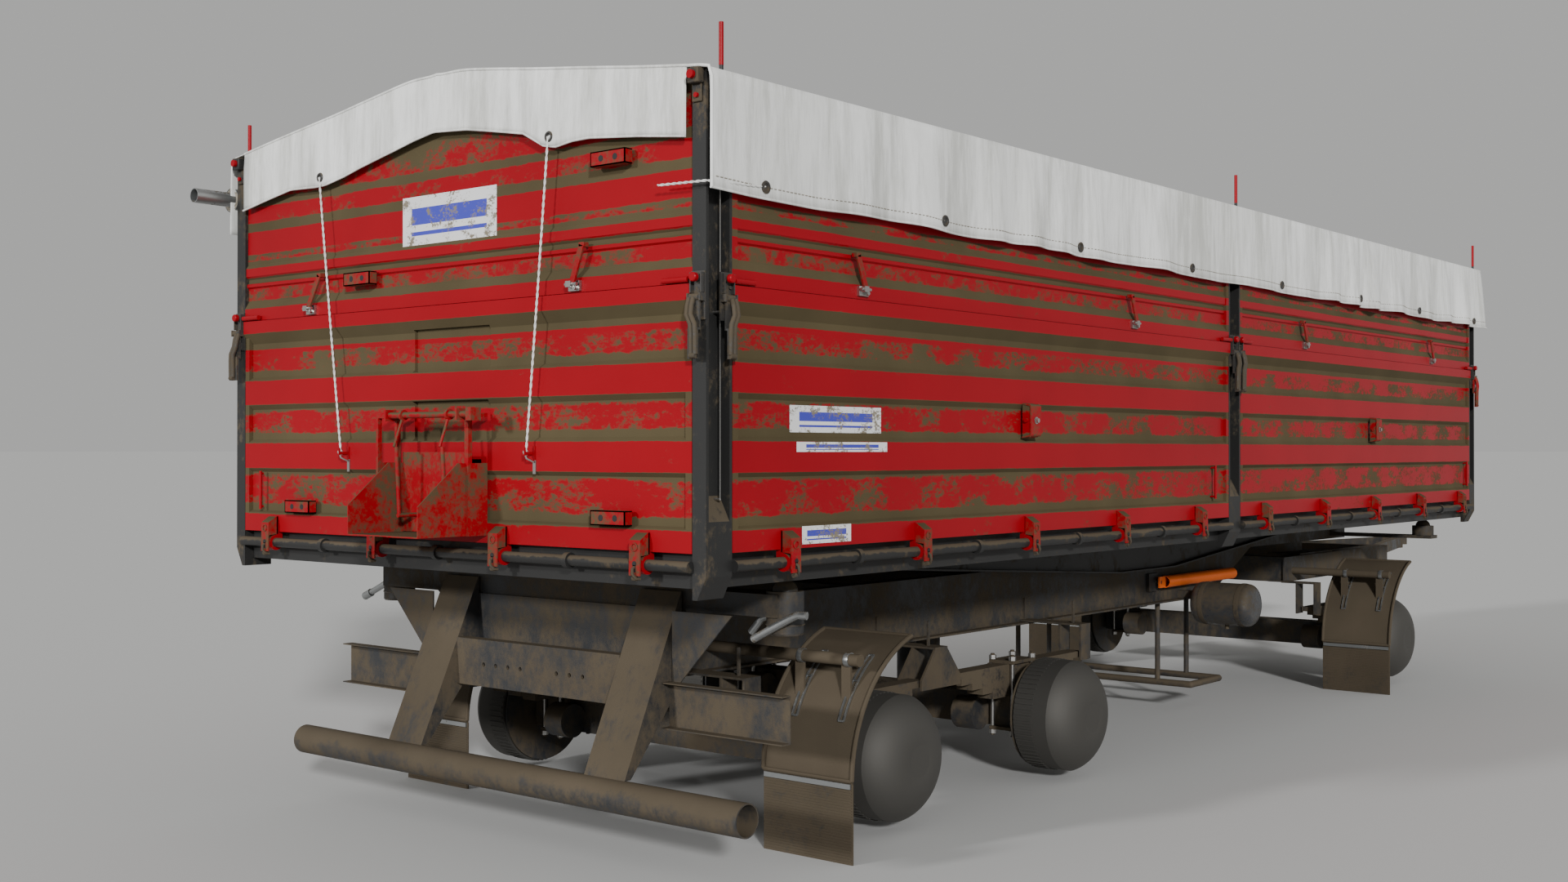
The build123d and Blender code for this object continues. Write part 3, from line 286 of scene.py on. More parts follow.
def fitting_tree():
    """A node tree that puts a copy of a small part on every point of a mesh."""
    name = "Place fittings"
    if name in bpy.data.node_groups:
        return bpy.data.node_groups[name]
    tree = bpy.data.node_groups.new(name, "GeometryNodeTree")
    sockets = (
        ("Points", "NodeSocketGeometry"), ("Fitting", "NodeSocketObject"), ("Size", "NodeSocketFloat"),
        ("Size spread", "NodeSocketFloat"), ("Seed", "NodeSocketInt"), ("Finish", "NodeSocketMaterial"),
    )
    for socket, kind in sockets:
        tree.interface.new_socket(socket, in_out="INPUT", socket_type=kind)
    tree.interface.new_socket("Fittings", in_out="OUTPUT", socket_type="NodeSocketGeometry")
    given = tree.nodes.new("NodeGroupInput")
    shape = node(tree, "GeometryNodeObjectInfo", {"Object": given.outputs["Fitting"]})
    turn = node(tree, "GeometryNodeInputNamedAttribute", {"Name": "turn"}, data_type="FLOAT_VECTOR")
    least, most = (math_node(tree, operation, given.outputs["Size"], given.outputs["Size spread"])
                   for operation in ("SUBTRACT", "ADD"))
    size = node(tree, "FunctionNodeRandomValue", {"Min": least, "Max": most, "Seed": given.outputs["Seed"]},
                data_type="FLOAT")
    size_out = next(o for o in size.outputs if o.type == "VALUE" and o.enabled)
    placed = node(tree, "GeometryNodeInstanceOnPoints",
                  {"Points": given.outputs["Points"], "Instance": shape.outputs["Geometry"],
                   "Rotation": turn.outputs["Attribute"], "Scale": size_out})
    real = node(tree, "GeometryNodeRealizeInstances", {"Geometry": placed.outputs[0]})
    finished = node(tree, "GeometryNodeSetMaterial",
                    {"Geometry": real.outputs[0], "Material": given.outputs["Finish"]})
    result = tree.nodes.new("NodeGroupOutput")
    tree.links.new(finished.outputs[0], result.inputs[0])
    return tree


def fittings(name, build, places, body, finish, size=1.0, spread=0.0, seed=3):
    """Copies of a small part at places, each a position and a turn, as one plain mesh on one body."""
    bm = bmesh.new()
    build(bm)
    bmesh.ops.recalc_face_normals(bm, faces=bm.faces)
    shape = mesh_from(bm, name + "_one")
    shape.shade_smooth()
    shape.set_sharp_from_angle(angle=math.radians(SHARP_ANGLE))
    one = bpy.data.objects.new(name + "_one", shape)
    points = bpy.data.meshes.new(name + "_points")
    points.from_pydata([p for p, _ in places], [], [])
    turns = points.attributes.new("turn", "FLOAT_VECTOR", "POINT")
    for i, (_, turn) in enumerate(places):
        turns.data[i].vector = turn
    holder = bpy.data.objects.new(name + "_points", points)
    for obj in (one, holder):
        bpy.context.scene.collection.objects.link(obj)
    tree = fitting_tree()
    mod = holder.modifiers.new("Fittings", "NODES")
    mod.node_group = tree
    values = {"Fitting": one, "Size": size, "Size spread": spread, "Seed": seed, "Finish": material(finish)}
    for item in tree.interface.items_tree:
        if item.in_out == "INPUT" and item.name in values:
            mod[item.identifier] = values[item.name]
    bpy.context.view_layer.update()
    graph = bpy.context.evaluated_depsgraph_get()
    mesh = bpy.data.meshes.new_from_object(holder.evaluated_get(graph))
    mesh.name = name
    for obj in (holder, one):
        bpy.data.objects.remove(obj)
    return settle(name, mesh, body, finish)


# ---------------------------------------------------------------- materials


def connect(tree, made, inputs):
    """Sets a node's inputs, each to a value or to another node's socket."""
    for key, value in inputs.items():
        if isinstance(value, bpy.types.NodeSocket):
            tree.links.new(value, made.inputs[key])
        else:
            made.inputs[key].default_value = value
    return made


def node(tree, kind, inputs=None, **settings):
    """A node with its settings and inputs."""
    made = tree.nodes.new(kind)
    for key, value in settings.items():
        setattr(made, key, value)
    return connect(tree, made, inputs or {})


def math_node(tree, operation, *values):
    """The result socket of a Math node."""
    return node(tree, "ShaderNodeMath", dict(enumerate(values)), operation=operation).outputs[0]


def mix_colour(tree, factor, first, second):
    """The result socket of a colour Mix node."""
    made = node(tree, "ShaderNodeMix", data_type="RGBA")
    return connect(tree, made, {0: factor, 6: first, 7: second}).outputs[2]


def mix_value(tree, factor, first, second):
    """The result socket of a number Mix node."""
    made = node(tree, "ShaderNodeMix", data_type="FLOAT")
    return connect(tree, made, {0: factor, 2: first, 3: second}).outputs[0]


def effect_group(name, inputs, outputs):
    """An empty shader group with named inputs (name, kind, default) and outputs."""
    tree = bpy.data.node_groups.new(name, "ShaderNodeTree")
    for socket, kind, default in inputs:
        made = tree.interface.new_socket(socket, in_out="INPUT", socket_type=kind)
        if default is not None:
            made.default_value = default
    for socket in outputs:
        tree.interface.new_socket(socket, in_out="OUTPUT", socket_type="NodeSocketFloat")
    return tree, tree.nodes.new("NodeGroupInput"), tree.nodes.new("NodeGroupOutput")


def patchy_mask_group():
    """A patchy mask that covers more as Cover grows, drawn out downwards by Streak. It lays dust, dirt and wear,
    and it also lays painted shade on the boards and on the cloth.
    """
    name = "Settled dust"
    if name in bpy.data.node_groups:
        return bpy.data.node_groups[name]
    tree, given, result = effect_group(name, (
        ("Vector", "NodeSocketVector", None), ("Scale", "NodeSocketFloat", 6.0),
        ("Cover", "NodeSocketFloat", 0.4), ("Streak", "NodeSocketFloat", 1.0), ("Edge", "NodeSocketFloat", 0.05),
    ), ("Mask", "Height"))
    stretch = node(tree, "ShaderNodeCombineXYZ", {0: 1.0, 1: 1.0, 2: given.outputs["Streak"]})
    place = node(tree, "ShaderNodeVectorMath", {0: given.outputs["Vector"], 1: stretch.outputs[0]},
                 operation="MULTIPLY")
    broad = node(tree, "ShaderNodeTexNoise", {"Vector": place.outputs[0], "Scale": given.outputs["Scale"],
                                              "Detail": 9.0, "Roughness": 0.68})
    fine_scale = math_node(tree, "MULTIPLY", given.outputs["Scale"], 7.0)
    fine = node(tree, "ShaderNodeTexNoise", {"Vector": place.outputs[0], "Scale": fine_scale, "Detail": 6.0,
                                             "Roughness": 0.75})
    both = mix_value(tree, 0.38, broad.outputs["Fac"], fine.outputs["Fac"])
    level = math_node(tree, "MULTIPLY_ADD", given.outputs["Cover"], -0.56, 0.78)
    low = math_node(tree, "SUBTRACT", level, given.outputs["Edge"])
    high = math_node(tree, "ADD", level, given.outputs["Edge"])
    mask = node(tree, "ShaderNodeMapRange", {"Value": both, "From Min": low, "From Max": high},
                interpolation_type="SMOOTHSTEP")
    tree.links.new(mask.outputs["Result"], result.inputs["Mask"])
    height = math_node(tree, "MULTIPLY", mask.outputs["Result"], both)
    tree.links.new(height, result.inputs["Height"])
    return tree


def grain_group():
    """Fine uneven grain of paint, rubber or rust."""
    name = "Surface grain"
    if name in bpy.data.node_groups:
        return bpy.data.node_groups[name]
    tree, given, result = effect_group(name, (
        ("Vector", "NodeSocketVector", None), ("Scale", "NodeSocketFloat", 240.0),
        ("Pits", "NodeSocketFloat", 0.3),
    ), ("Height", "Shade"))
    grain = node(tree, "ShaderNodeTexNoise", {"Vector": given.outputs["Vector"], "Scale": given.outputs["Scale"],
                                              "Detail": 3.0, "Roughness": 0.6})
    cells = node(tree, "ShaderNodeTexVoronoi", {"Vector": given.outputs["Vector"],
                                                "Scale": given.outputs["Scale"]}, feature="F1")
    pits = math_node(tree, "MULTIPLY", cells.outputs["Distance"], given.outputs["Pits"])
    tree.links.new(math_node(tree, "ADD", grain.outputs["Fac"], pits), result.inputs["Height"])
    slow = node(tree, "ShaderNodeTexNoise", {"Vector": given.outputs["Vector"], "Scale": 2.3, "Detail": 4.0})
    tree.links.new(slow.outputs["Fac"], result.inputs["Shade"])
    return tree


def weave_group():
    """Plain weave of two crossing sets of threads."""
    name = "Plain weave"
    if name in bpy.data.node_groups:
        return bpy.data.node_groups[name]
    tree, given, result = effect_group(name, (
        ("Vector", "NodeSocketVector", None), ("Threads", "NodeSocketFloat", 220.0),
    ), ("Height",))
    waves = []
    for direction in ("X", "Y", "Z"):
        wave = node(tree, "ShaderNodeTexWave", {"Vector": given.outputs["Vector"],
                                                "Scale": given.outputs["Threads"], "Distortion": 0.6,
                                                "Detail": 1.0}, bands_direction=direction)
        waves.append(wave.outputs["Fac"])
    first = math_node(tree, "ADD", waves[0], waves[1])
    tree.links.new(math_node(tree, "ADD", first, waves[2]), result.inputs["Height"])
    return tree


def use_group(tree, group, inputs):
    """A group node with its values."""
    made = tree.nodes.new("ShaderNodeGroup")
    made.node_tree = group
    return connect(tree, made, inputs)


def new_material(name):
    """A material with its shader and its object coordinates."""
    made = bpy.data.materials.new(name)
    made.use_nodes = True
    tree = made.node_tree
    shader = tree.nodes["Principled BSDF"]
    where = tree.nodes.new("ShaderNodeTexCoord")
    return made, tree, shader, where


def rgba(colour, factor=1.0):
    """A colour with alpha, made lighter or darker."""
    return (*(c * factor for c in colour), 1.0)


def board_cover(height, stops):
    """The positions and values of a ramp from heights up a board."""
    return [(h / height, value) for h, value in stops]


# Dust cover up a lower board. The upward-facing ledges above each band get real dust. The same dark colour also
# fills the downward-facing slopes under the bands, the tops of the recesses and the strip under the top lip,
# where it is painted shade mixed with dust.
LOWER_DUST_AND_SHADE = board_cover(0.832, (
    (0.0, 0.32), (0.066, 0.28), (0.073, 0.95), (0.096, 0.95), (0.112, 0.46), (0.215, 0.42), (0.228, 0.60),
    (0.234, 0.96), (0.246, 0.96), (0.250, 0.24), (0.346, 0.22), (0.350, 0.95), (0.372, 0.95), (0.390, 0.46),
    (0.462, 0.44), (0.476, 0.60), (0.480, 0.96), (0.497, 0.96), (0.501, 0.24), (0.592, 0.22), (0.597, 0.95),
    (0.618, 0.95), (0.636, 0.48), (0.700, 0.46), (0.708, 0.12), (0.716, 0.12), (0.722, 0.92), (0.780, 0.98),
    (0.784, 0.14), (0.832, 0.12),
))
# Dust cover up an upper board. The upward-facing ledges get real dust. The strip under the band just above the
# small ridge is painted shade mixed with dust. Higher up the colour is darker in two thin lines and towards the
# top.
UPPER_DUST_AND_SHADE = board_cover(0.622, (
    (0.0, 0.26), (0.047, 0.24), (0.051, 0.95), (0.074, 0.95), (0.082, 0.47), (0.126, 0.46), (0.131, 0.15),
    (0.148, 0.15), (0.152, 0.92), (0.168, 0.92), (0.176, 0.26), (0.208, 0.26), (0.212, 0.95), (0.228, 0.95),
    (0.240, 0.46), (0.262, 0.62), (0.268, 0.24), (0.352, 0.24), (0.358, 0.80), (0.384, 0.88), (0.394, 0.42),
    (0.448, 0.38), (0.456, 0.74), (0.474, 0.80), (0.486, 0.44), (0.555, 0.50), (0.622, 0.70),
))


def painted(name, colour, dirt, cover, scale=7.0, streak=1.0, sheen=0.34, dull=0.85, rising=0.25,
            bands=None, metallic=0.0, grain=260.0, bump=0.12, edge=0.05, chips=0.0, wear=None, gloss=0.5):
    """Paint or metal under patchy dirt. bands is (bottom, height, stops) for cover that changes up a board; on
    the boards that cover lays the dirt colour both as dust and as painted shade under the bands and the lip.
    """
    made, tree, shader, where = new_material(name)
    spot = where.outputs["Object"]
    normal = node(tree, "ShaderNodeSeparateXYZ", {0: where.outputs["Normal"]})
    upward = math_node(tree, "MAXIMUM", normal.outputs["Z"], 0.0)
    amount = cover
    # On the boards this ramp lays the dirt colour as dust on the ledges and as painted shade under the bands and
    # the top lip.
    if bands:
        bottom, height, stops = bands
        place = node(tree, "ShaderNodeSeparateXYZ", {0: spot})
        share = node(tree, "ShaderNodeMapRange", {"Value": place.outputs["Z"], "From Min": bottom,
                                                  "From Max": bottom + height})
        ramp = node(tree, "ShaderNodeValToRGB", {"Fac": share.outputs["Result"]})
        ramp.color_ramp.elements.remove(ramp.color_ramp.elements[1])
        ramp.color_ramp.elements[0].position = stops[0][0]
        ramp.color_ramp.elements[0].color = (*[stops[0][1]] * 3, 1)
        for position, value in stops[1:]:
            made_stop = ramp.color_ramp.elements.new(position)
            made_stop.color = (value, value, value, 1)
        amount = node(tree, "ShaderNodeSeparateColor", {0: ramp.outputs["Color"]}).outputs[0]
    amount = math_node(tree, "MULTIPLY_ADD", upward, rising, amount)
    dust = use_group(tree, patchy_mask_group(), {"Vector": spot, "Scale": scale, "Cover": amount, "Streak": streak,
                                          "Edge": edge})
    texture = use_group(tree, grain_group(), {"Vector": spot, "Scale": grain, "Pits": 0.3})
    mask = dust.outputs["Mask"]
    faded = mix_colour(tree, texture.outputs["Shade"], rgba(colour, 0.84), rgba(colour, 1.14))
    if chips:
        specks = use_group(tree, patchy_mask_group(), {"Vector": spot, "Scale": scale * 5, "Cover": chips,
                                                "Streak": 1.0, "Edge": 0.02})
        faded = mix_colour(tree, specks.outputs["Mask"], faded, rgba(wear or (0.16, 0.15, 0.14)))
    soil_and_shade = mix_colour(tree, texture.outputs["Shade"], rgba(dirt, 0.62), rgba(dirt, 1.35))
    tree.links.new(mix_colour(tree, mask, faded, soil_and_shade), shader.inputs["Base Color"])
    tree.links.new(mix_value(tree, mask, sheen, dull), shader.inputs["Roughness"])
    tree.links.new(mix_value(tree, mask, gloss, 0.12), shader.inputs["Specular IOR Level"])
    if metallic:
        tree.links.new(mix_value(tree, mask, metallic, 0.0), shader.inputs["Metallic"])
    raised = math_node(tree, "MULTIPLY_ADD", dust.outputs["Height"], 1.6, texture.outputs["Height"])
    relief = node(tree, "ShaderNodeBump", {"Height": raised, "Strength": bump, "Distance": 0.002})
    tree.links.new(relief.outputs["Normal"], shader.inputs["Normal"])
    return made


def cloth_material(name, colour, soil_and_shade, amount):
    """Coated cloth with rain streaks, soft upright grey patches of painted fold shade and a fine weave."""
    made, tree, shader, where = new_material(name)
    spot = where.outputs["Object"]
    streaks = use_group(tree, patchy_mask_group(), {"Vector": spot, "Scale": 3.2, "Cover": amount, "Streak": 0.12,
                                             "Edge": 0.10})
    # Painted shade: soft upright grey patches that stand in for the shade of the folds.
    painted_fold_shade = use_group(tree, patchy_mask_group(), {"Vector": spot, "Scale": 1.3, "Cover": amount + 0.10, "Streak": 0.4,
                                           "Edge": 0.16})
    specks = use_group(tree, patchy_mask_group(), {"Vector": spot, "Scale": 9.0, "Cover": 0.10, "Streak": 0.7,
                                            "Edge": 0.04})
    weave = use_group(tree, weave_group(), {"Vector": spot, "Threads": 210.0})
    base = mix_colour(tree, math_node(tree, "MULTIPLY", painted_fold_shade.outputs["Mask"], 0.24), rgba(colour),
                      rgba(soil_and_shade, 1.9))
    base = mix_colour(tree, math_node(tree, "MULTIPLY", streaks.outputs["Mask"], 0.52), base, rgba(soil_and_shade, 1.2))
    base = mix_colour(tree, math_node(tree, "MULTIPLY", specks.outputs["Mask"], 0.55), base, rgba(soil_and_shade, 0.45))
    tree.links.new(base, shader.inputs["Base Color"])
    shader.inputs["Roughness"].default_value = 0.62
    shader.inputs["Sheen Weight"].default_value = 0.12
    relief = node(tree, "ShaderNodeBump",
                  {"Height": weave.outputs["Height"], "Strength": 0.10, "Distance": 0.0006})
    tree.links.new(relief.outputs["Normal"], shader.inputs["Normal"])
    return made


def decal_material(name):
    """A plain printed sticker, scuffed by dust: a broad bar over a thin one and no lettering."""
    made, tree, shader, where = new_material(name)
    sheet = node(tree, "ShaderNodeUVMap", uv_map="sticker")
    place = node(tree, "ShaderNodeSeparateXYZ", {0: sheet.outputs["UV"]})
    across, up = place.outputs["X"], place.outputs["Y"]

    def band(value, low, high):
        above = math_node(tree, "GREATER_THAN", value, low)
        below = math_node(tree, "LESS_THAN", value, high)
        return math_node(tree, "MULTIPLY", above, below)

    bars = math_node(tree, "ADD", band(up, 0.42, 0.76), band(up, 0.20, 0.28))
    blue = math_node(tree, "MULTIPLY", bars, band(across, 0.10, 0.90))
    printed = mix_colour(tree, blue, (0.74, 0.74, 0.74, 1), (0.045, 0.05, 0.42, 1))
    scuff = use_group(tree, patchy_mask_group(), {"Vector": where.outputs["Object"], "Scale": 14.0, "Cover": 0.42,
                                           "Streak": 1.4, "Edge": 0.03})
    tree.links.new(mix_colour(tree, scuff.outputs["Mask"], printed, (0.20, 0.17, 0.12, 1)),
                   shader.inputs["Base Color"])
    tree.links.new(mix_value(tree, scuff.outputs["Mask"], 0.38, 0.8), shader.inputs["Roughness"])
    return made


def rope_material(name):
    """White twisted fibre with a little grime."""
    made, tree, shader, where = new_material(name)
    spot = where.outputs["Object"]
    grime = use_group(tree, patchy_mask_group(), {"Vector": spot, "Scale": 30.0, "Cover": 0.38, "Streak": 1.0,
                                           "Edge": 0.08})
    fibre = use_group(tree, grain_group(), {"Vector": spot, "Scale": 1500.0, "Pits": 0.5})
    tree.links.new(mix_colour(tree, math_node(tree, "MULTIPLY", grime.outputs["Mask"], 0.4),
                              (0.72, 0.72, 0.70, 1), (0.34, 0.31, 0.25, 1)), shader.inputs["Base Color"])
    shader.inputs["Roughness"].default_value = 0.8
    relief = node(tree, "ShaderNodeBump",
                  {"Height": fibre.outputs["Height"], "Strength": 0.4, "Distance": 0.0005})
    tree.links.new(relief.outputs["Normal"], shader.inputs["Normal"])
    return made


def material(name):
    """The finish of that name, made the first time that it is asked for."""
    if name in bpy.data.materials:
        return bpy.data.materials[name]
    look = bpy.context.scene.trailer_finish
    red, grey, mud, dust = (tuple(c) for c in (look.red, look.frame_grey, look.mud, look.dust))
    lower = (BOARD_BOTTOM, BOARD_HEIGHT, LOWER_DUST_AND_SHADE)
    upper = (UPPER_BOTTOM, UPPER_HEIGHT, UPPER_DUST_AND_SHADE)
    makers = {
        "lower_board_red": lambda: painted(name, red, dust, 0.3, scale=5.0, streak=1.8, bands=lower, edge=0.045,
                                           gloss=0.12),
        "upper_board_red": lambda: painted(name, red, dust, 0.3, scale=4.0, streak=1.6, bands=upper, edge=0.05,
                                           gloss=0.12),
        "red_fitting": lambda: painted(name, red, dust, 0.45, scale=8.0, rising=0.5, edge=0.09, gloss=0.12),
        "red_pin": lambda: painted(name, red, dust, 0.10, scale=12.0, rising=0.1, gloss=0.12),
        "frame_grey": lambda: painted(name, grey, mud, 0.36, scale=5.0, streak=0.7, sheen=0.46, rising=0.5,
                                      gloss=0.3),
        "lock_steel": lambda: painted(name, (0.036, 0.034, 0.032), mud, 0.42, scale=14.0, sheen=0.45,
                                      chips=0.12, wear=(0.22, 0.21, 0.2)),
        "muddy_chassis": lambda: painted(name, (0.028, 0.029, 0.031), mud, 0.51, scale=4.5, streak=0.7,
                                         sheen=0.45, rising=0.35, edge=0.10, bump=0.3, gloss=0.3),
        "muddy_springs": lambda: painted(name, (0.034, 0.030, 0.027), mud, 0.60, scale=9.0, sheen=0.45,
                                         bump=0.3, chips=0.1),
        "cast_drum": lambda: painted(name, (0.022, 0.021, 0.019), mud, 0.40, scale=7.0, sheen=0.17, dull=0.5,
                                     edge=0.12, bump=0.12, gloss=0.8),
        "guard_plastic": lambda: painted(name, (0.026, 0.024, 0.022), mud, 0.80, scale=7.0, sheen=0.36,
                                         edge=0.05, bump=0.3),
        "tank_paint": lambda: painted(name, (0.030, 0.032, 0.036), mud, 0.44, scale=6.0, sheen=0.25, dull=0.7,
                                      edge=0.12, gloss=0.7),
        "flap_rubber": lambda: painted(name, (0.030, 0.027, 0.023), mud, 0.68, scale=8.0, sheen=0.6, dull=0.9,
                                       edge=0.08, bump=0.3),
        "worn_lever": lambda: painted(name, (0.040, 0.036, 0.031), mud, 0.56, scale=16.0, sheen=0.42, edge=0.10,
                                      chips=0.16, wear=(0.24, 0.22, 0.19)),
        "worn_cup": lambda: painted(name, (0.10, 0.088, 0.075), mud, 0.40, scale=8.0, sheen=0.24, metallic=0.6,
                                    edge=0.12),
        "galvanised": lambda: painted(name, (0.34, 0.35, 0.35), mud, 0.30, scale=16.0, sheen=0.36,
                                      metallic=0.85, grain=420.0),
        "bare_steel": lambda: painted(name, (0.46, 0.45, 0.43), mud, 0.22, scale=20.0, sheen=0.30,
                                      metallic=0.95, grain=500.0),
        "ram_chrome": lambda: painted(name, (0.55, 0.55, 0.54), mud, 0.34, scale=10.0, sheen=0.2, metallic=1.0),
        "orange_paint": lambda: painted(name, tuple(look.orange), mud, 0.22, scale=10.0, streak=3.0),
        "hose_rubber": lambda: painted(name, (0.014, 0.014, 0.014), mud, 0.36, scale=20.0, sheen=0.5),
        "cover_cloth": lambda: cloth_material(name, tuple(look.cloth), (0.20, 0.20, 0.165), 0.47),
        "dirty_cloth": lambda: cloth_material(name, (0.34, 0.31, 0.26), (0.11, 0.09, 0.06), 0.55),
        "floor_sheet": lambda: painted(name, (0.05, 0.045, 0.04), mud, 0.5, scale=6.0, sheen=0.4, metallic=0.4),
        "rope_fibre": lambda: rope_material(name),
        "sticker": lambda: decal_material(name),
        # Near-black patches that stand for the keyholes and bracket holes: painted shade.
        "painted_hole_shade": lambda: painted(name, (0.010, 0.010, 0.010), mud, 0.2, scale=9.0, sheen=0.7),
    }
    makers[name]()
    return bpy.data.materials[name]


NODE_FINISHES = {
    "lower_board_red": ("tailgate", "side_board_right_rear", "side_board_right_front", "side_board_left_rear",
                        "side_board_left_front"),
    "upper_board_red": ("upper_boards", "headboard"),
    "red_fitting": ("chute", "gate", "gate_shaft"),
    "frame_grey": ("box_frame", "posts", "roof_bows", "hinge_shafts"),
    "floor_sheet": ("box_floor",),
    "lock_steel": ("lock_plates", "ball_studs"),
    "tank_paint": ("air_tank",),
    "muddy_chassis": ("chassis_frame", "spring_hangers", "underrun_frame", "underrun_tube", "dolly_frame",
                      "drawbar", "spare_wheel_cradle", "ram_barrel", "rear_axles", "front_axle"),
    "muddy_springs": ("rear_springs", "front_springs"),
    "guard_plastic": ("rear_mudguards", "front_mudguards"),
    "flap_rubber": ("rear_flaps", "front_flaps"),
    "galvanised": ("roll_tube",),
    "orange_paint": ("safety_prop",),
    "ram_chrome": ("ram_stage_1", "ram_stage_2", "ram_stage_3"),
    "hose_rubber": ("brake_hoses",),
    "cover_cloth": ("tarp",),
    "rope_fibre": ("rear_rope_left", "rear_rope_right", "side_cord"),
}


# ---------------------------------------------------------------- operators


class StageOperator(Operator):
    """Sets the camera, the floor and the light"""

    bl_idname = "trailer.set_stage"
    bl_label = "Stage"

    def execute(self, context):
        stage = context.scene.trailer_stage
        camera = bpy.data.cameras.new("camera")
        camera.lens = stage.lens
        camera.sensor_width = 36
        camera.clip_end = 4000
        eye = bpy.data.objects.new("camera", camera)
        context.scene.collection.objects.link(eye)
        flat = math.cos(stage.pitch)
        ahead = Vector((-math.sin(stage.yaw) * flat, math.cos(stage.yaw) * flat, math.sin(stage.pitch)))
        eye.matrix_world = Matrix.Translation(EYE) @ ahead.to_track_quat("-Z", "Y").to_matrix().to_4x4()
        context.scene.camera = eye
        bm = bmesh.new()
        bmesh.ops.create_grid(bm, x_segments=2, y_segments=2, size=FLOOR_HALF)
        mesh = mesh_from(bm, "floor")
        floor = bpy.data.objects.new("floor", mesh)
        context.scene.collection.objects.link(floor)
        made, _, shader, _ = new_material("studio_floor")
        shader.inputs["Base Color"].default_value = (0.55, 0.55, 0.543, 1)
        shader.inputs["Roughness"].default_value = 1.0
        shader.inputs["Specular IOR Level"].default_value = 0.0
        mesh.materials.append(made)
        world = bpy.data.worlds.new("studio")
        world.use_nodes = True
        backdrop = world.node_tree.nodes["Background"]
        backdrop.inputs["Color"].default_value = (0.452, 0.452, 0.444, 1)
        backdrop.inputs["Strength"].default_value = stage.sky
        context.scene.world = world
        lights = (("rear_light", stage.rear_light, (0.26, 0.92, -0.26)),
                  ("side_light", stage.side_light, (-0.72, 0.60, -0.30)))
        for name, energy, heading in lights:
            sun = bpy.data.lights.new(name, "SUN")
            sun.energy = energy
            sun.angle = math.radians(5)
            lamp = bpy.data.objects.new(name, sun)
            context.scene.collection.objects.link(lamp)
            lamp.rotation_euler = Vector(heading).to_track_quat("-Z", "Y").to_euler()
        return {"FINISHED"}


def spline_points(points, resolution=24):
    """Points along the smooth line that a cord's route gives."""
    curve = cord_curve("measure", points)
    curve.resolution_u = resolution
    obj = bpy.data.objects.new("measure", curve)
    mesh = bpy.data.meshes.new_from_object(obj)
    line = [v.co.copy() for v in mesh.vertices]
    bpy.data.objects.remove(obj)
    bpy.data.meshes.remove(mesh)
    return line


def cord_curve(name, points, radius=0.0):
    """A curve through the route's points as a smooth spline."""
    curve = bpy.data.curves.new(name, "CURVE")
    curve.dimensions = "3D"
    spline = curve.splines.new("NURBS")
    spline.points.add(len(points) - 1)
    for point, place in zip(spline.points, points):
        point.co = (*place, 1)
    spline.order_u = 3
    spline.use_endpoint_u = True
    curve.bevel_depth = radius
    curve.bevel_resolution = 4
    curve.resolution_u = 24
    curve.use_fill_caps = True
    return curve


def length_of(line):
    """The length of a line of points."""
    return sum((b - a).length for a, b in zip(line, line[1:]))


def even(line, step):
    """The same line with its points a step apart."""
    total = length_of(line)
    count = max(2, round(total / step))
    made, i, done = [], 0, 0.0
    for k in range(count + 1):
        want = total * k / count
        while i < len(line) - 2 and done + (line[i + 1] - line[i]).length < want:
            done += (line[i + 1] - line[i]).length
            i += 1
        span = (line[i + 1] - line[i]).length or 1.0
        made.append(line[i].lerp(line[i + 1], min(1.0, (want - done) / span)))
    return made


def twisted(bm, line, radius, strands=2, pitch=0.050):
    """Strands twisted round a line."""
    spaced = even(line, 0.005)
    for strand in range(strands):
        path, run = [], 0.0
        side = None
        for i, p in enumerate(spaced):
            ahead = (spaced[min(i + 1, len(spaced) - 1)] - spaced[max(i - 1, 0)]).normalized()
            if side is None:
                side = ahead.orthogonal()
            side = (side - ahead * side.dot(ahead)).normalized()
            up = ahead.cross(side)
            a = 2 * math.pi * (run / pitch + strand / strands)
            path.append(p + (side * math.cos(a) + up * math.sin(a)) * radius * 0.82)
            if i + 1 < len(spaced):
                run += (spaced[i + 1] - p).length
        tube(bm, path, radius, sides=6)


ROPE_ROUTES = {
    "rear_rope_left": ((-0.680, -4.7385, 2.466), (-0.541, -4.739, 1.427)),
    "rear_rope_right": ((0.594, -4.7385, 2.468), (0.489, -4.739, 1.427)),
}
SIDE_ROUTE = ((1.303, -4.464, 2.262), (1.306, -4.735, 2.250), (1.285, -4.741, 2.250), (1.098, -4.739, 2.255))
HOSE_Y = AXLES["middle"] - 0.060
HOSE_ROUTE = ((0.420, HOSE_Y - 0.230, 0.601), (0.420, HOSE_Y - 0.230, 0.520), (0.380, HOSE_Y - 0.110, 0.430),
              (0.330, HOSE_Y, 0.430), (0.330, HOSE_Y, 0.352))


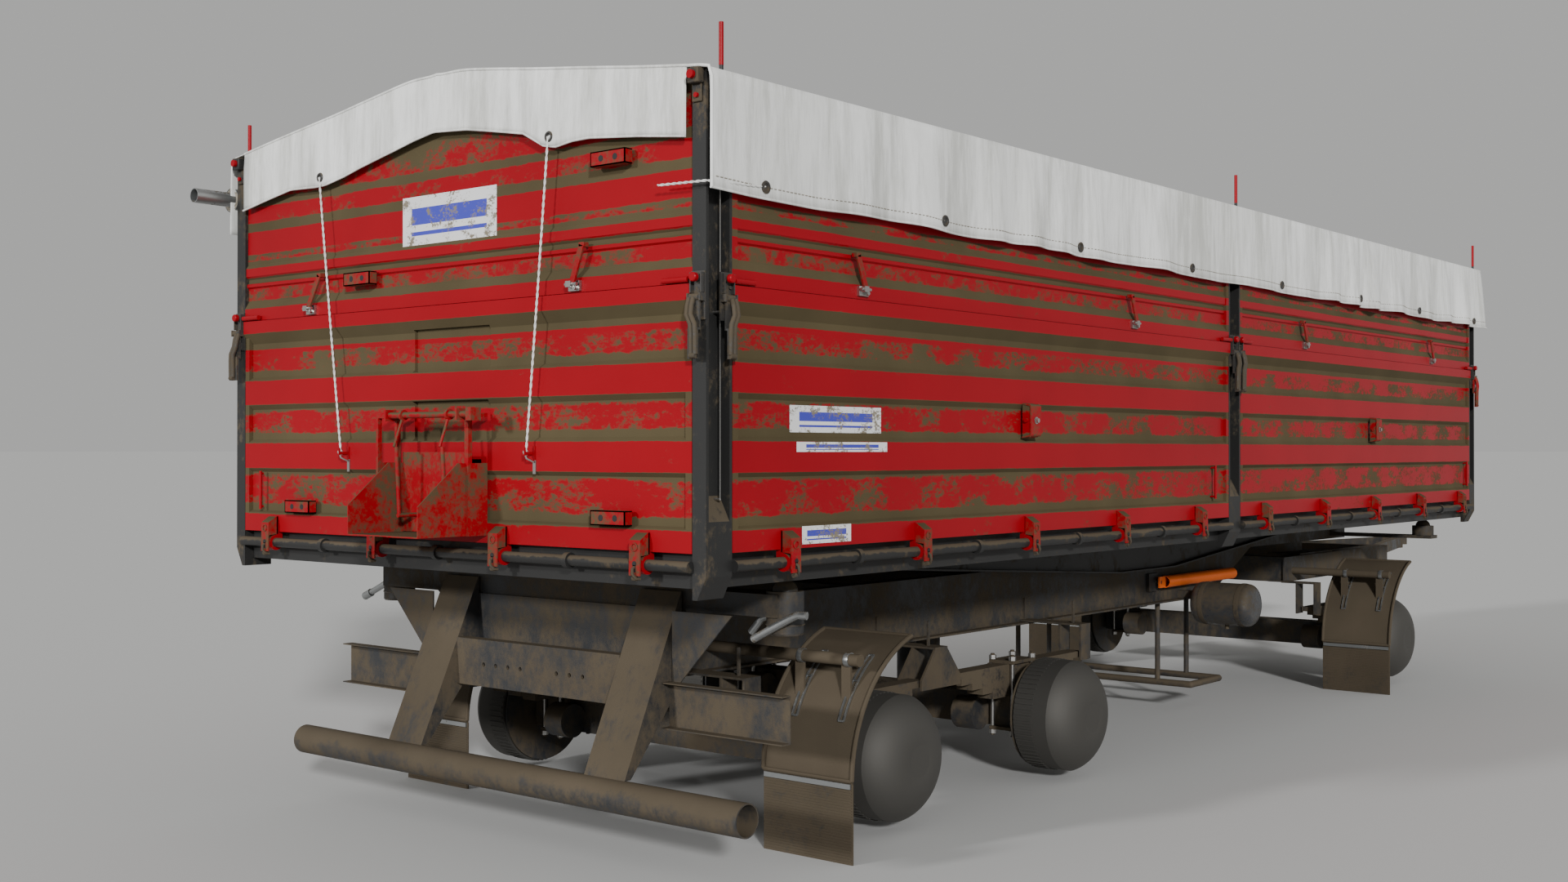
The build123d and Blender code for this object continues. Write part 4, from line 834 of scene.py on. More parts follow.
class CordsOperator(Operator):
    """Lays the ropes of the cover and the hoses of the brakes"""

    bl_idname = "trailer.lay_cords"
    bl_label = "Ropes and hoses"

    def execute(self, context):
        radius = context.scene.trailer_shape.rope_radius
        for name, (top, bottom) in ROPE_ROUTES.items():
            top, bottom = Vector(top), Vector(bottom)
            sideways = 0.004 if top.x > 0 else -0.004
            middle = top.lerp(bottom, 0.5) + Vector((sideways, 0, 0))
            line = spline_points((top, middle, bottom))
            bm = bmesh.new()
            twisted(bm, line, radius)
            rope = piece(name + "_strands", bm, None, "rope_fibre", replaces=(name,))
            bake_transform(rope)
            [tuple(p) for p in even(line, 0.01)]
        line = spline_points(SIDE_ROUTE)
        bm = bmesh.new()
        twisted(bm, line, radius)
        cord = piece("side_cord_strands", bm, "box", "rope_fibre", replaces=("side_cord",))
        [tuple(p) for p in even(line, 0.01)]
        for side, points in (("right", HOSE_ROUTE), ("left", mirrored(HOSE_ROUTE))):
            curve = cord_curve("brake_hose_" + side, points, radius=0.008)
            curve.materials.append(material("hose_rubber"))
            hose = bpy.data.objects.new("brake_hose_" + side, curve)
            context.scene.collection.objects.link(hose)
            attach(hose, "chassis")
            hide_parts("brake_hoses")
            length_of(spline_points(points))
        return {"FINISHED"}


def hem_height(x):
    """Height of the rear flap's scalloped hem at a place across it."""
    for (x0, z0), (x1, z1) in zip(REAR_HEM, REAR_HEM[1:]):
        if x0 <= x <= x1:
            share = (x - x0) / (x1 - x0)
            return z0 + (z1 - z0) * share
    return REAR_HEM[0][1] if x < 0 else REAR_HEM[-1][1]


def roof_height(x, y):
    """Height of the cover over the bows, sagging a little between them."""
    across = min(abs(x) / ROOF_HALF, 1.0)
    z = EAVE + (RIDGE - 0.006 - EAVE) * (1 - across)
    z -= 0.016 * math.exp(-((x / 0.10) ** 2))
    bay = (REAR + 0.170 - y) / 1.4094
    sag = math.sin(math.pi * bay) ** 2
    z -= 0.010 * sag * math.sin(math.pi * min(across, 1.0)) ** 0.8
    z += 0.0035 * noise.noise((x * 2.4, y * 1.3, 4.0)) * (1 - across ** 4)
    return z


def fold(y, seed):
    """Sideways swing of the hanging flap along its length, between about -0.4 and 1."""
    drift = noise.noise((y * 0.9, seed, 0.3))
    strength = 0.62 + 0.75 * noise.noise((y * 0.7, seed, 7.7))
    fine = noise.noise((y * 6.0, seed, 2.2))
    wave = math.sin(2 * math.pi * (y / 0.37 + 1.1 * drift))
    near_end = math.exp(-((y - ROOF_START) / 0.55) ** 2)
    return (1.0 - 0.85 * near_end) * (strength * (0.42 + 0.58 * wave) + 0.22 * fine)


def flap_reach(y, share, seed, depth):
    """Distance of a side flap from the middle, at a share of the way down to its hem."""
    swing = max(-0.004, fold(y, seed) * depth * share ** 0.8)
    flare = 0.012 * math.exp(-((y - ROOF_START) / 0.16) ** 2) * share ** 0.3
    return ROOF_HALF + swing + flare


def hem_wave(y, share):
    """How far the hem rises and falls along the side."""
    return 0.004 * math.sin(y * 6.2) * share


class TarpOperator(Operator):
    """Drapes the cover over its bows and hangs its flaps"""

    bl_idname = "trailer.drape_tarp"
    bl_label = "Cover"

    def execute(self, context):
        shape = context.scene.trailer_shape
        bm = bmesh.new()
        drop_steps = 12
        xs = [-ROOF_HALF, -1.270, -1.235, -FLAP_HALF]
        xs += [-FLAP_HALF + 2 * FLAP_HALF * i / 52 for i in range(1, 52)] + [FLAP_HALF, 1.235, 1.270, ROOF_HALF]
        ys = [ROOF_START + 0.004 + (ROOF_END - ROOF_START - 0.008) * i / HEM_STEPS for i in range(HEM_STEPS + 1)]
        ys[1:1] = [ys[0] + 0.006, ys[0] + 0.014]
        roof = [[bm.verts.new((x, y, roof_height(x, y) - (0.006 if abs(x) > 1.29 else 0.0))) for x in xs]
                for y in ys]

        skin(bm, roof)
        for side, column, hem, depth in ((1, -1, SIDE_HEM, shape.fold_depth), (-1, 0, 2.300, 0.006)):
            rows = [[row[column] for row in roof]]
            for k in range(1, drop_steps + 1):
                share = k / drop_steps
                row = []
                for y, top in zip(ys, rows[0]):
                    z = top.co.z - (top.co.z - hem) * share + hem_wave(y, share)
                    row.append(bm.verts.new((side * flap_reach(y, share, 3.0 + side, depth), y, z)))
                rows.append(row)
            skin(bm, rows if side > 0 else [list(reversed(r)) for r in rows])
        for end, low_row in ((-1, roof[0]), (1, roof[-1])):
            inner = [v for v in low_row if abs(v.co.x) <= FLAP_HALF + 0.0001]
            rows = [inner]
            for k in range(1, drop_steps + 1):
                share = k / drop_steps
                row = []
                for top in inner:
                    x = top.co.x
                    hem = hem_height(x) if end < 0 else 2.400 + 0.12 * (1 - abs(x) / 1.2)
                    ripple = noise.noise((x * 3.4, share * 0.6, 5.0 + end)) * 0.010 * share
                    ripple += noise.noise((x * 9.0, share * 0.8, 1.0 + end)) * 0.004 * share
                    near = min(abs(x - p) for p, _ in REAR_EYELETS)
                    ripple += 0.006 * share * math.exp(-((near / 0.10) ** 2))
                    y = top.co.y + end * (0.004 * min(1.0, share * 4) + max(-0.003, ripple))
                    row.append(bm.verts.new((x, y, top.co.z - (top.co.z - hem) * share)))
                rows.append(row)
            skin(bm, rows if end < 0 else [list(reversed(r)) for r in rows])
        bmesh.ops.recalc_face_normals(bm, faces=bm.faces)
        area = sum(f.calc_area() for f in bm.faces)
        mesh = mesh_from(bm, "cover")
        cover = settle("cover", mesh, "box", "cover_cloth", angle=70, replaces=("tarp",))
        wall = cover.modifiers.new("Cloth thickness", "SOLIDIFY")
        wall.thickness = shape.cloth_thickness
        wall.offset = -1.0
        self.edge_cords(context)
        self.eyelets()
        self.rolled_edge()
        return {"FINISHED"}

    def edge_cords(self, context):
        """The hems, rolled round a cord, and the stitches above them."""
        bm = bmesh.new()
        steps = [ROOF_START + (ROOF_END - ROOF_START) * i / HEM_STEPS for i in range(HEM_STEPS + 1)]
        depth = context.scene.trailer_shape.fold_depth

        def side_point(y, up, share):
            return Vector((flap_reach(y, share, 4.0, depth), y, SIDE_HEM + up + hem_wave(y, share)))

        tube(bm, [side_point(y, 0.0, 1.0) + Vector((-0.001, 0, 0)) for y in steps], 0.0042, sides=6)
        xs = [-FLAP_HALF + 2 * FLAP_HALF * i / 120 for i in range(121)]
        tube(bm, [(x, ROOF_START - 0.003, hem_height(x)) for x in xs], 0.0040, sides=6)
        edge = [(ROOF_HALF + 0.012, ROOF_START + 0.004, z / 1000) for z in range(2232, 2596, 26)]
        edge += [(ROOF_HALF, ROOF_START + 0.004, EAVE - 0.004), (1.26, ROOF_START + 0.004, EAVE + 0.003),
                 (1.205, ROOF_START + 0.003, EAVE + 0.009)]
        tube(bm, edge, 0.0055, sides=6)
        y = ROOF_START + 0.004
        tube(bm, [(x, y, roof_height(x, y) - 0.002) for x in xs], 0.0050, sides=6)
        piece("cover_hems", bm, "box", "cover_cloth", angle=80)
        places = []
        count = 370
        for i in range(count):
            y = ROOF_START + 0.03 + (ROOF_END - ROOF_START - 0.06) * i / (count - 1)
            places.append((side_point(y, 0.036, 0.90) + Vector((0.0012, 0, 0)), (0, 0, 0)))

        def stitch(bm):
            block(bm, (-0.0010, -0.0060, -0.0012), (0.0010, 0.0060, 0.0012))

        fittings("hem_stitches", stitch, places, "box", "dirty_cloth", spread=0.12)

    def eyelets(self):
        """Oval eyelets along the flap and on the rear flap."""
        depth = bpy.context.scene.trailer_shape.fold_depth
        bm = bmesh.new()
        for place in EYELETS:
            y = REAR + place
            x = ROOF_HALF + max(-0.004, fold(y, 4.0) * depth * 0.9) + 0.003
            ring(bm, (x, y, EYELET_Z), (1, 0, 0), 0.0150, 0.0050, around=18)
            ring(bm, (x + 0.002, y, EYELET_Z), (1, 0, 0), 0.0190, 0.0022, around=18)
            tube(bm, [(x - 0.004, y, EYELET_Z), (x + 0.0008, y, EYELET_Z)], 0.0135, sides=12)
        for x, z in REAR_EYELETS:
            ring(bm, (x, ROOF_START - 0.008, z), (0, -1, 0), 0.0140, 0.0048, around=18)
            tube(bm, [(x, ROOF_START - 0.001, z), (x, ROOF_START - 0.0075, z)], 0.0125, sides=12)
        piece("eyelets", bm, "box", "lock_steel")

    def rolled_edge(self):
        """The left edge of the cover, rolled on its tube and strapped."""
        bm = bmesh.new()
        centre = Vector((ROLL_X, 0, ROLL_Z))
        outline = []
        for i in range(44):
            a = math.radians(38 + 13 * i)
            r = 0.0335 + 0.00028 * i
            outline.append((centre.x - r * math.sin(a), centre.z + r * math.cos(a)))
        start = [(-ROOF_HALF - 0.002, EAVE - 0.012), (-1.305, 2.560), (-1.325, 2.505)]
        path = start + outline
        steps = [ROOF_START + 0.02 + (ROOF_END - ROOF_START - 0.04) * i / 90 for i in range(91)]
        rows = []
        for y in steps:
            wobble = 0.0022 * noise.noise((y * 2.2, 0.0, 9.0))
            rows.append([bm.verts.new((x + wobble, y, z + wobble * 0.6)) for x, z in path])
        skin(bm, rows)
        area = sum(f.calc_area() for f in bm.faces)
        mesh = mesh_from(bm, "rolled_edge")
        roll = settle("rolled_edge", mesh, "box", "dirty_cloth", angle=70)
        wall = roll.modifiers.new("Cloth thickness", "SOLIDIFY")
        wall.thickness = 0.002
        wall.offset = 0.0
        bm = bmesh.new()
        for y in (REAR + 0.02, REAR + 2.5, REAR + 5.0, REAR + 7.34):
            ring(bm, (centre.x, y, centre.z), (0, 1, 0), 0.0490, 0.0020, around=28, squash=8)
        piece("roll_straps", bm, "box", "galvanised")


def on_rear(x, z=0.0, out=0.0):
    """A place on the rear face; a fitting's -Y points outwards."""
    return (x, REAR - out, z), (0, 0, 0)


def on_side(y, z=0.0, side=1, out=0.0):
    """A place on a side face, turned to face outwards."""
    return (side * (HALF + out), y, z), (0, 0, side * math.pi / 2)


def set_down(bm, place):
    """Moves what a bmesh holds to a place."""
    spot, turn = place
    bm.transform(Matrix.Translation(spot) @ Matrix.Rotation(turn[2], 4, "Z"))


LEVER_PLACES = {"rear_side": REAR + 0.088, "mid_rear": REAR + 3.732, "mid_front": REAR + 3.799,
                "front_side": 2.619}
SIDE_CATCHES = (0.79, 2.745, 4.61, 6.555)


def hinge_plate(bm):
    """A strap over a hinge eye, with a shoulder on the board."""
    outline = ((0, 1.172), (-0.010, 1.172), (-0.043, 1.150), (-0.0450, 1.038), (-0.0400, 1.038), (-0.0400, 1.100),
               (0, 1.104))
    prism(bm, outline, "x", -0.024, 0.024)
    ring(bm, (0, -0.0452, 1.128), (0, -1, 0), 0.0120, 0.0022, around=18)


def hinge_slot(bm):
    """The keyhole in the strap, drawn as a thin near-black patch on the strap's face: painted shade where the
    hole is.
    """
    block(bm, (-0.0055, -0.0462, 1.050), (0.0055, -0.0448, 1.072))
    tube(bm, [(0, -0.0448, 1.076), (0, -0.0462, 1.076)], 0.0085, sides=12)


def hinge_hook(bm):
    """The bolt that hangs through the keyhole."""
    tube(bm, [(0.000, -0.044, 1.066), (0.000, -0.053, 1.060), (0.002, -0.055, 1.044), (0.008, -0.046, 1.030),
              (0.012, -0.030, 1.028)], 0.0048, sides=8)
    tube(bm, [(-0.010, -0.040, 1.030), (0.006, -0.040, 1.030)], 0.0085, sides=8)


def pin_head(bm):
    """A round pin head on a lock plate."""
    tube(bm, [(0, y, PIN_HEIGHT) for y in (-0.019, -0.032, -0.035)], 0.0145, sides=16,
         radii=(0.0145, 0.0145, 0.0120))


def lock_face(bm):
    """Slots, rivets and the folded guide on a lock plate."""
    for x in (-0.024, 0.020):
        block(bm, (x, -0.006, 1.914), (x + 0.005, -0.019, 1.976))
    block(bm, (-0.014, -0.006, 1.834), (0.014, -0.011, 1.862))
    tube(bm, [(0.012, -0.006, 1.935), (0.012, -0.013, 1.935)], 0.0060, sides=6)


def fork_lever(bm, lean):
    """Two bent bars side by side over a lock lever."""
    for bar in (-0.0085, 0.0085):
        tube(bm, [(bar - lean * 0.012, -0.024, 1.897), (bar - lean * 0.012, -0.032, 1.872),
                  (bar - lean * 0.012, -0.036, 1.846), (bar + lean * 0.006, -0.038, 1.816),
                  (bar + lean * 0.008, -0.038, 1.790), (bar + lean * 0.008, -0.037, 1.724)], 0.0080, sides=10)
    tube(bm, [(-0.0120 + lean * 0.008, -0.037, 1.720), (0.0120 + lean * 0.008, -0.037, 1.720)], 0.0092, sides=10)


def catch(bm, lower, upper, place):
    """A slanted flat catch lever, from its lower end to its upper end."""
    made = bmesh.new()
    along = (Vector((upper[0], 0, upper[1])) - Vector((lower[0], 0, lower[1]))).normalized()
    across = Vector((along.z, 0, -along.x)) * 0.011
    ends = [Vector((lower[0], 0, lower[1])), Vector((upper[0], 0, upper[1]))]
    corners = [ends[0] - across, ends[0] + across, ends[1] + across, ends[1] - across]
    prism(made, [(c.x, c.z) for c in corners], "y", -0.024, -0.015)
    block(made, (upper[0] - 0.012, -0.024, upper[1] - 0.008), (upper[0] + 0.012, 0.0, upper[1] + 0.008))
    set_down(made, place)
    mesh = mesh_from(made, "part")
    bm.from_mesh(mesh)
    bpy.data.meshes.remove(mesh)


def latch(bm):
    """The steel latch at a catch lever's lower end."""
    block(bm, (-0.026, 0.0, -0.020), (0.026, -0.010, 0.014))
    block(bm, (-0.020, -0.010, -0.008), (0.004, -0.030, 0.012))
    tube(bm, [(-0.030, -0.020, 0.002), (0.024, -0.020, 0.002)], 0.0060, sides=8)
    tube(bm, [(0.012, -0.010, -0.010), (0.012, -0.022, -0.010)], 0.0080, sides=6)


def tension_cover(bm):
    """The upright box over a cross-chain anchor."""
    outline = ((0, -0.068), (-0.036, -0.062), (-0.041, -0.056), (-0.041, 0.056), (-0.036, 0.062), (0, 0.068),
               (0, 0.063), (-0.033, 0.057), (-0.036, 0.053), (-0.036, -0.053), (-0.033, -0.057), (0, -0.063))
    prism(bm, outline, "x", -0.038, 0.038)


def bolt_face(bm):
    """A washer and a hexagon nut."""
    tube(bm, [(0, 0.0, 0), (0, -0.003, 0)], 0.0140, sides=16)
    tube(bm, [(0, -0.003, 0), (0, -0.012, 0)], 0.0098, sides=6)


def holed_bracket(bm):
    """A folded bracket with two holes in its face."""
    block(bm, (-0.078, 0.0, -0.024), (0.078, -0.034, -0.020))
    block(bm, (-0.078, 0.0, 0.020), (0.078, -0.034, 0.024))
    block(bm, (-0.078, -0.030, -0.024), (0.078, -0.034, 0.024))
    for x in (-0.078, 0.074):
        block(bm, (x, 0.0, -0.024), (x + 0.004, -0.034, 0.024))


def bracket_holes(bm):
    """The holes of a bracket, drawn as thin near-black discs on its face: painted shade where the holes are."""
    for x in (-0.030, 0.034):
        tube(bm, [(x, -0.0335, 0), (x, -0.0347, 0)], 0.0105, sides=14)


def hinge_places(section, side):
    """The five hinges along a side board."""
    return [on_side(BOARD_STARTS[section] + 0.259 + i * HINGE_STEP, side=side) for i in range(5)]


class HardwareOperator(Operator):
    """Fits the hinge straps, locks, catches and brackets of the box"""

    bl_idname = "trailer.fit_hardware"
    bl_label = "Box hardware"

    def execute(self, context):
        boards = {"tailgate": [on_rear(x) for x in TAIL_HINGES]}
        for side, word in ((1, "right"), (-1, "left")):
            for section in BOARD_STARTS:
                boards[f"side_board_{word}_{section}"] = hinge_places(section, side)
        for body, places in boards.items():
            fittings(body + "_straps", hinge_plate, places, body, "red_fitting")
            # The keyholes are near-black patches: painted shade.
            fittings(body + "_keyholes", hinge_slot, places, body, "painted_hole_shade")
            fittings(body + "_hooks", hinge_hook, places, body, "muddy_springs")
            if body == "tailgate":
                continue
            side = 1 if "right" in body else -1
            section = body.split("_")[-1]
            anchor = [on_side(BOARD_STARTS[section] + 1.745, BOARD_BOTTOM + 0.435, side)]
            fittings(body + "_anchor", tension_cover, anchor, body, "red_fitting")
            bolt = [on_side(BOARD_STARTS[section] + 1.745, BOARD_BOTTOM + 0.435, side, out=0.041)]
            fittings(body + "_anchor_bolt", bolt_face, bolt, body, "bare_steel")
            bm = bmesh.new()
            y = REAR + (3.53 if section == "rear" else 7.20)
            tube(bm, [(side * (HALF + 0.012), y, 1.205), (side * (HALF + 0.012), y, 1.360)], 0.006, sides=10)
            for z in (1.215, 1.350):
                tube(bm, [(side * (HALF - 0.014), y, z), (side * (HALF + 0.012), y, z)], 0.005, sides=8)
            piece(body + "_rod", bm, body, "red_pin")
        self.locks()
        self.catches()
        self.trim()
        return {"FINISHED"}

    def locks(self):
        """Pin heads, plate faces, fork levers and the short pins beside them."""
        places = []
        for side, word in ((1, "right"), (-1, "left")):
            corner = on_rear(side * 1.2465)
            spots = {"rear_corner": corner, **{n: on_side(y, side=side) for n, y in LEVER_PLACES.items()}}
            places += spots.values()
            for name, place in spots.items():
                lean = side if name == "rear_corner" else -side
                bm = bmesh.new()
                fork_lever(bm, lean)
                set_down(bm, place)
                body = f"lever_{word}_{name}"
                red = body == "lever_right_front_side"
                piece(body + "_fork", bm, body, "red_fitting" if red else "worn_lever")
        fittings("lock_pin_heads", pin_head, places, "box", "red_pin")
        fittings("lock_plate_faces", lock_face, places, "box", "lock_steel")
        bm = bmesh.new()
        for side in (1, -1):
            tube(bm, [(side * x, REAR - 0.012, SHORT_PIN_Z) for x in (1.105, 1.212)], 0.0095)
            for span in BOARD_PIN_SPANS:
                tube(bm, [(side * (HALF + 0.012), y, SHORT_PIN_Z) for y in span], 0.0095)
        piece("board_pins", bm, "box", "red_pin")

    def catches(self):
        """The slanted catch levers on the upper boards and their latches."""
        rear = (((-0.763, 1.972), (-0.690, 2.096)), ((0.700, 1.972), (0.748, 2.100)))
        bm = bmesh.new()
        latches = []
        for (x0, z0), (x1, z1) in rear:
            catch(bm, (0, z0), (x1 - x0, z1), on_rear(x0))
            latches.append(on_rear(x0, z0))
        for side in (1, -1):
            for place in SIDE_CATCHES:
                catch(bm, (0, 1.978), (-0.046 * side, 2.094), on_side(REAR + place, side=side))
                latches.append(on_side(REAR + place, 1.978, side))
        piece("catch_levers", bm, "box", "red_fitting", bevel=0.0015)
        fittings("catch_latches", latch, latches, "box", "bare_steel")

    def trim(self):
        """Brackets, guide rods, latch blocks and stickers."""
        brackets = {"tailgate": ((-0.815, 1.215), (0.880, 1.215)), "box": ((-0.440, 2.066), (0.880, 2.366))}
        for body, spots in brackets.items():
            places = [on_rear(x, z) for x, z in spots]
            fittings(body + "_brackets", holed_bracket, places, body, "red_fitting")
            # The bracket holes are near-black discs: painted shade.
            fittings(body + "_bracket_holes", bracket_holes, places, body, "painted_hole_shade")
        bm = bmesh.new()
        tube(bm, [(-1.090, REAR - 0.012, 1.200), (-1.090, REAR - 0.012, 1.350)], 0.006, sides=10)
        for z in (1.210, 1.340):
            tube(bm, [(-1.090, REAR, z), (-1.090, REAR - 0.012, z)], 0.005, sides=8)
        piece("tailgate_rod", bm, "tailgate", "red_pin")
        bm = bmesh.new()
        for side in (1, -1):
            tube(bm, [(side * 1.262, REAR + 0.078, 1.280), (side * 1.262, REAR + 0.078, 2.380)], 0.0022, sides=8)
            for z in (1.280, 1.860, 2.380):
                tube(bm, [(side * 1.230, REAR + 0.078, z), (side * 1.263, REAR + 0.078, z)], 0.0040, sides=8)
        piece("guide_rods", bm, "box", "bare_steel")
        bm = bmesh.new()
        for side in (1, -1):
            for y in POST_MIDS:
                tube(bm, [(side * (HALF + 0.008), y, EAVE + 0.012), (side * (HALF + 0.008), y, 2.7515)], 0.0076)
        piece("stop_rod_paint", bm, "box", "red_pin")
        bm = bmesh.new()
        heads = bmesh.new()
        for side in (1, -1):
            block(bm, (side * 1.222, REAR, 2.555), (side * 1.267, REAR - 0.030, 2.602))
            block(bm, (side * 1.222, REAR, 2.500), (side * 1.262, REAR - 0.008, 2.555))
            tube(heads, [(side * 1.244, REAR - out, 2.580) for out in (0.030, 0.043)], 0.0135, sides=16)
            tube(heads, [(side * 1.244, REAR - out, 2.520) for out in (0.008, 0.016)], 0.0080, sides=12)
        piece("top_latches", bm, "box", "frame_grey", bevel=0.003)
        piece("top_latch_pins", heads, "box", "red_pin")
        bm = bmesh.new()
        for x in (-0.541, 0.489):
            block(bm, (x + 0.006, REAR, 1.352), (x + 0.020, REAR - 0.004, 1.398))
            hook = ((x, REAR - 0.034, 1.420), (x + 0.004, REAR - 0.030, 1.404), (x + 0.013, REAR - 0.006, 1.392))
            tube(bm, hook, 0.0035, sides=8)
            ring(bm, (x, REAR - 0.030, 1.424), (1, 0, 0.2), 0.0095, 0.0030, around=16)
        piece("rope_plates", bm, "tailgate", "bare_steel")
        self.sticker("rear_sticker", "box", "y", REAR + 0.0108, (-0.222, 0.294), (2.168, 2.345))
        for name, out, across, height in (
            ("side_sticker", -0.0136, (-4.293, -3.791), (1.490, 1.579)),
            ("side_strip", 0.0012, (-4.275, -3.775), (1.426, 1.459)),
            ("small_label", 0.0014, (-4.247, -3.983), (1.124, 1.183)),
        ):
            self.sticker(name, "side_board_right_rear", "x", HALF + out, across, height)

    def sticker(self, name, body, axis, depth, across, height):
        """A flat sticker on the rear face or the right side."""
        (a0, a1), (z0, z1) = across, height
        corners = [(a0, z0), (a1, z0), (a1, z1), (a0, z1)]
        if axis == "x":
            verts = [(depth, a, z) for a, z in corners]
        else:
            verts = [(a, depth, z) for a, z in corners]
        mesh = bpy.data.meshes.new(name)
        mesh.from_pydata(verts, [], [(0, 1, 2, 3)])
        layer = mesh.uv_layers.new(name="sticker")
        for loop, spot in zip(layer.data, ((0, 0), (1, 0), (1, 1), (0, 1))):
            loop.uv = spot
        settle(name, mesh, body, "sticker")


def u_bolt(bm):
    """One bright shank with its nuts."""
    tube(bm, [(0, 0, 0.213), (0, 0, 0.489)], 0.0102, sides=10)
    for low, high in ((0.178, 0.196), (0.506, 0.524)):
        tube(bm, [(0, 0, low), (0, 0, high)], 0.0165, sides=6)


def drum_rib(bm):
    """One rib across a drum's rim."""
    block(bm, (0.0, -0.0045, 0.234), (0.085, 0.0045, 0.2405))


def flap_rib(bm):
    """One rib across a mudflap."""
    block(bm, (-0.196, 0.0, -0.0022), (0.196, -0.0028, 0.0022))


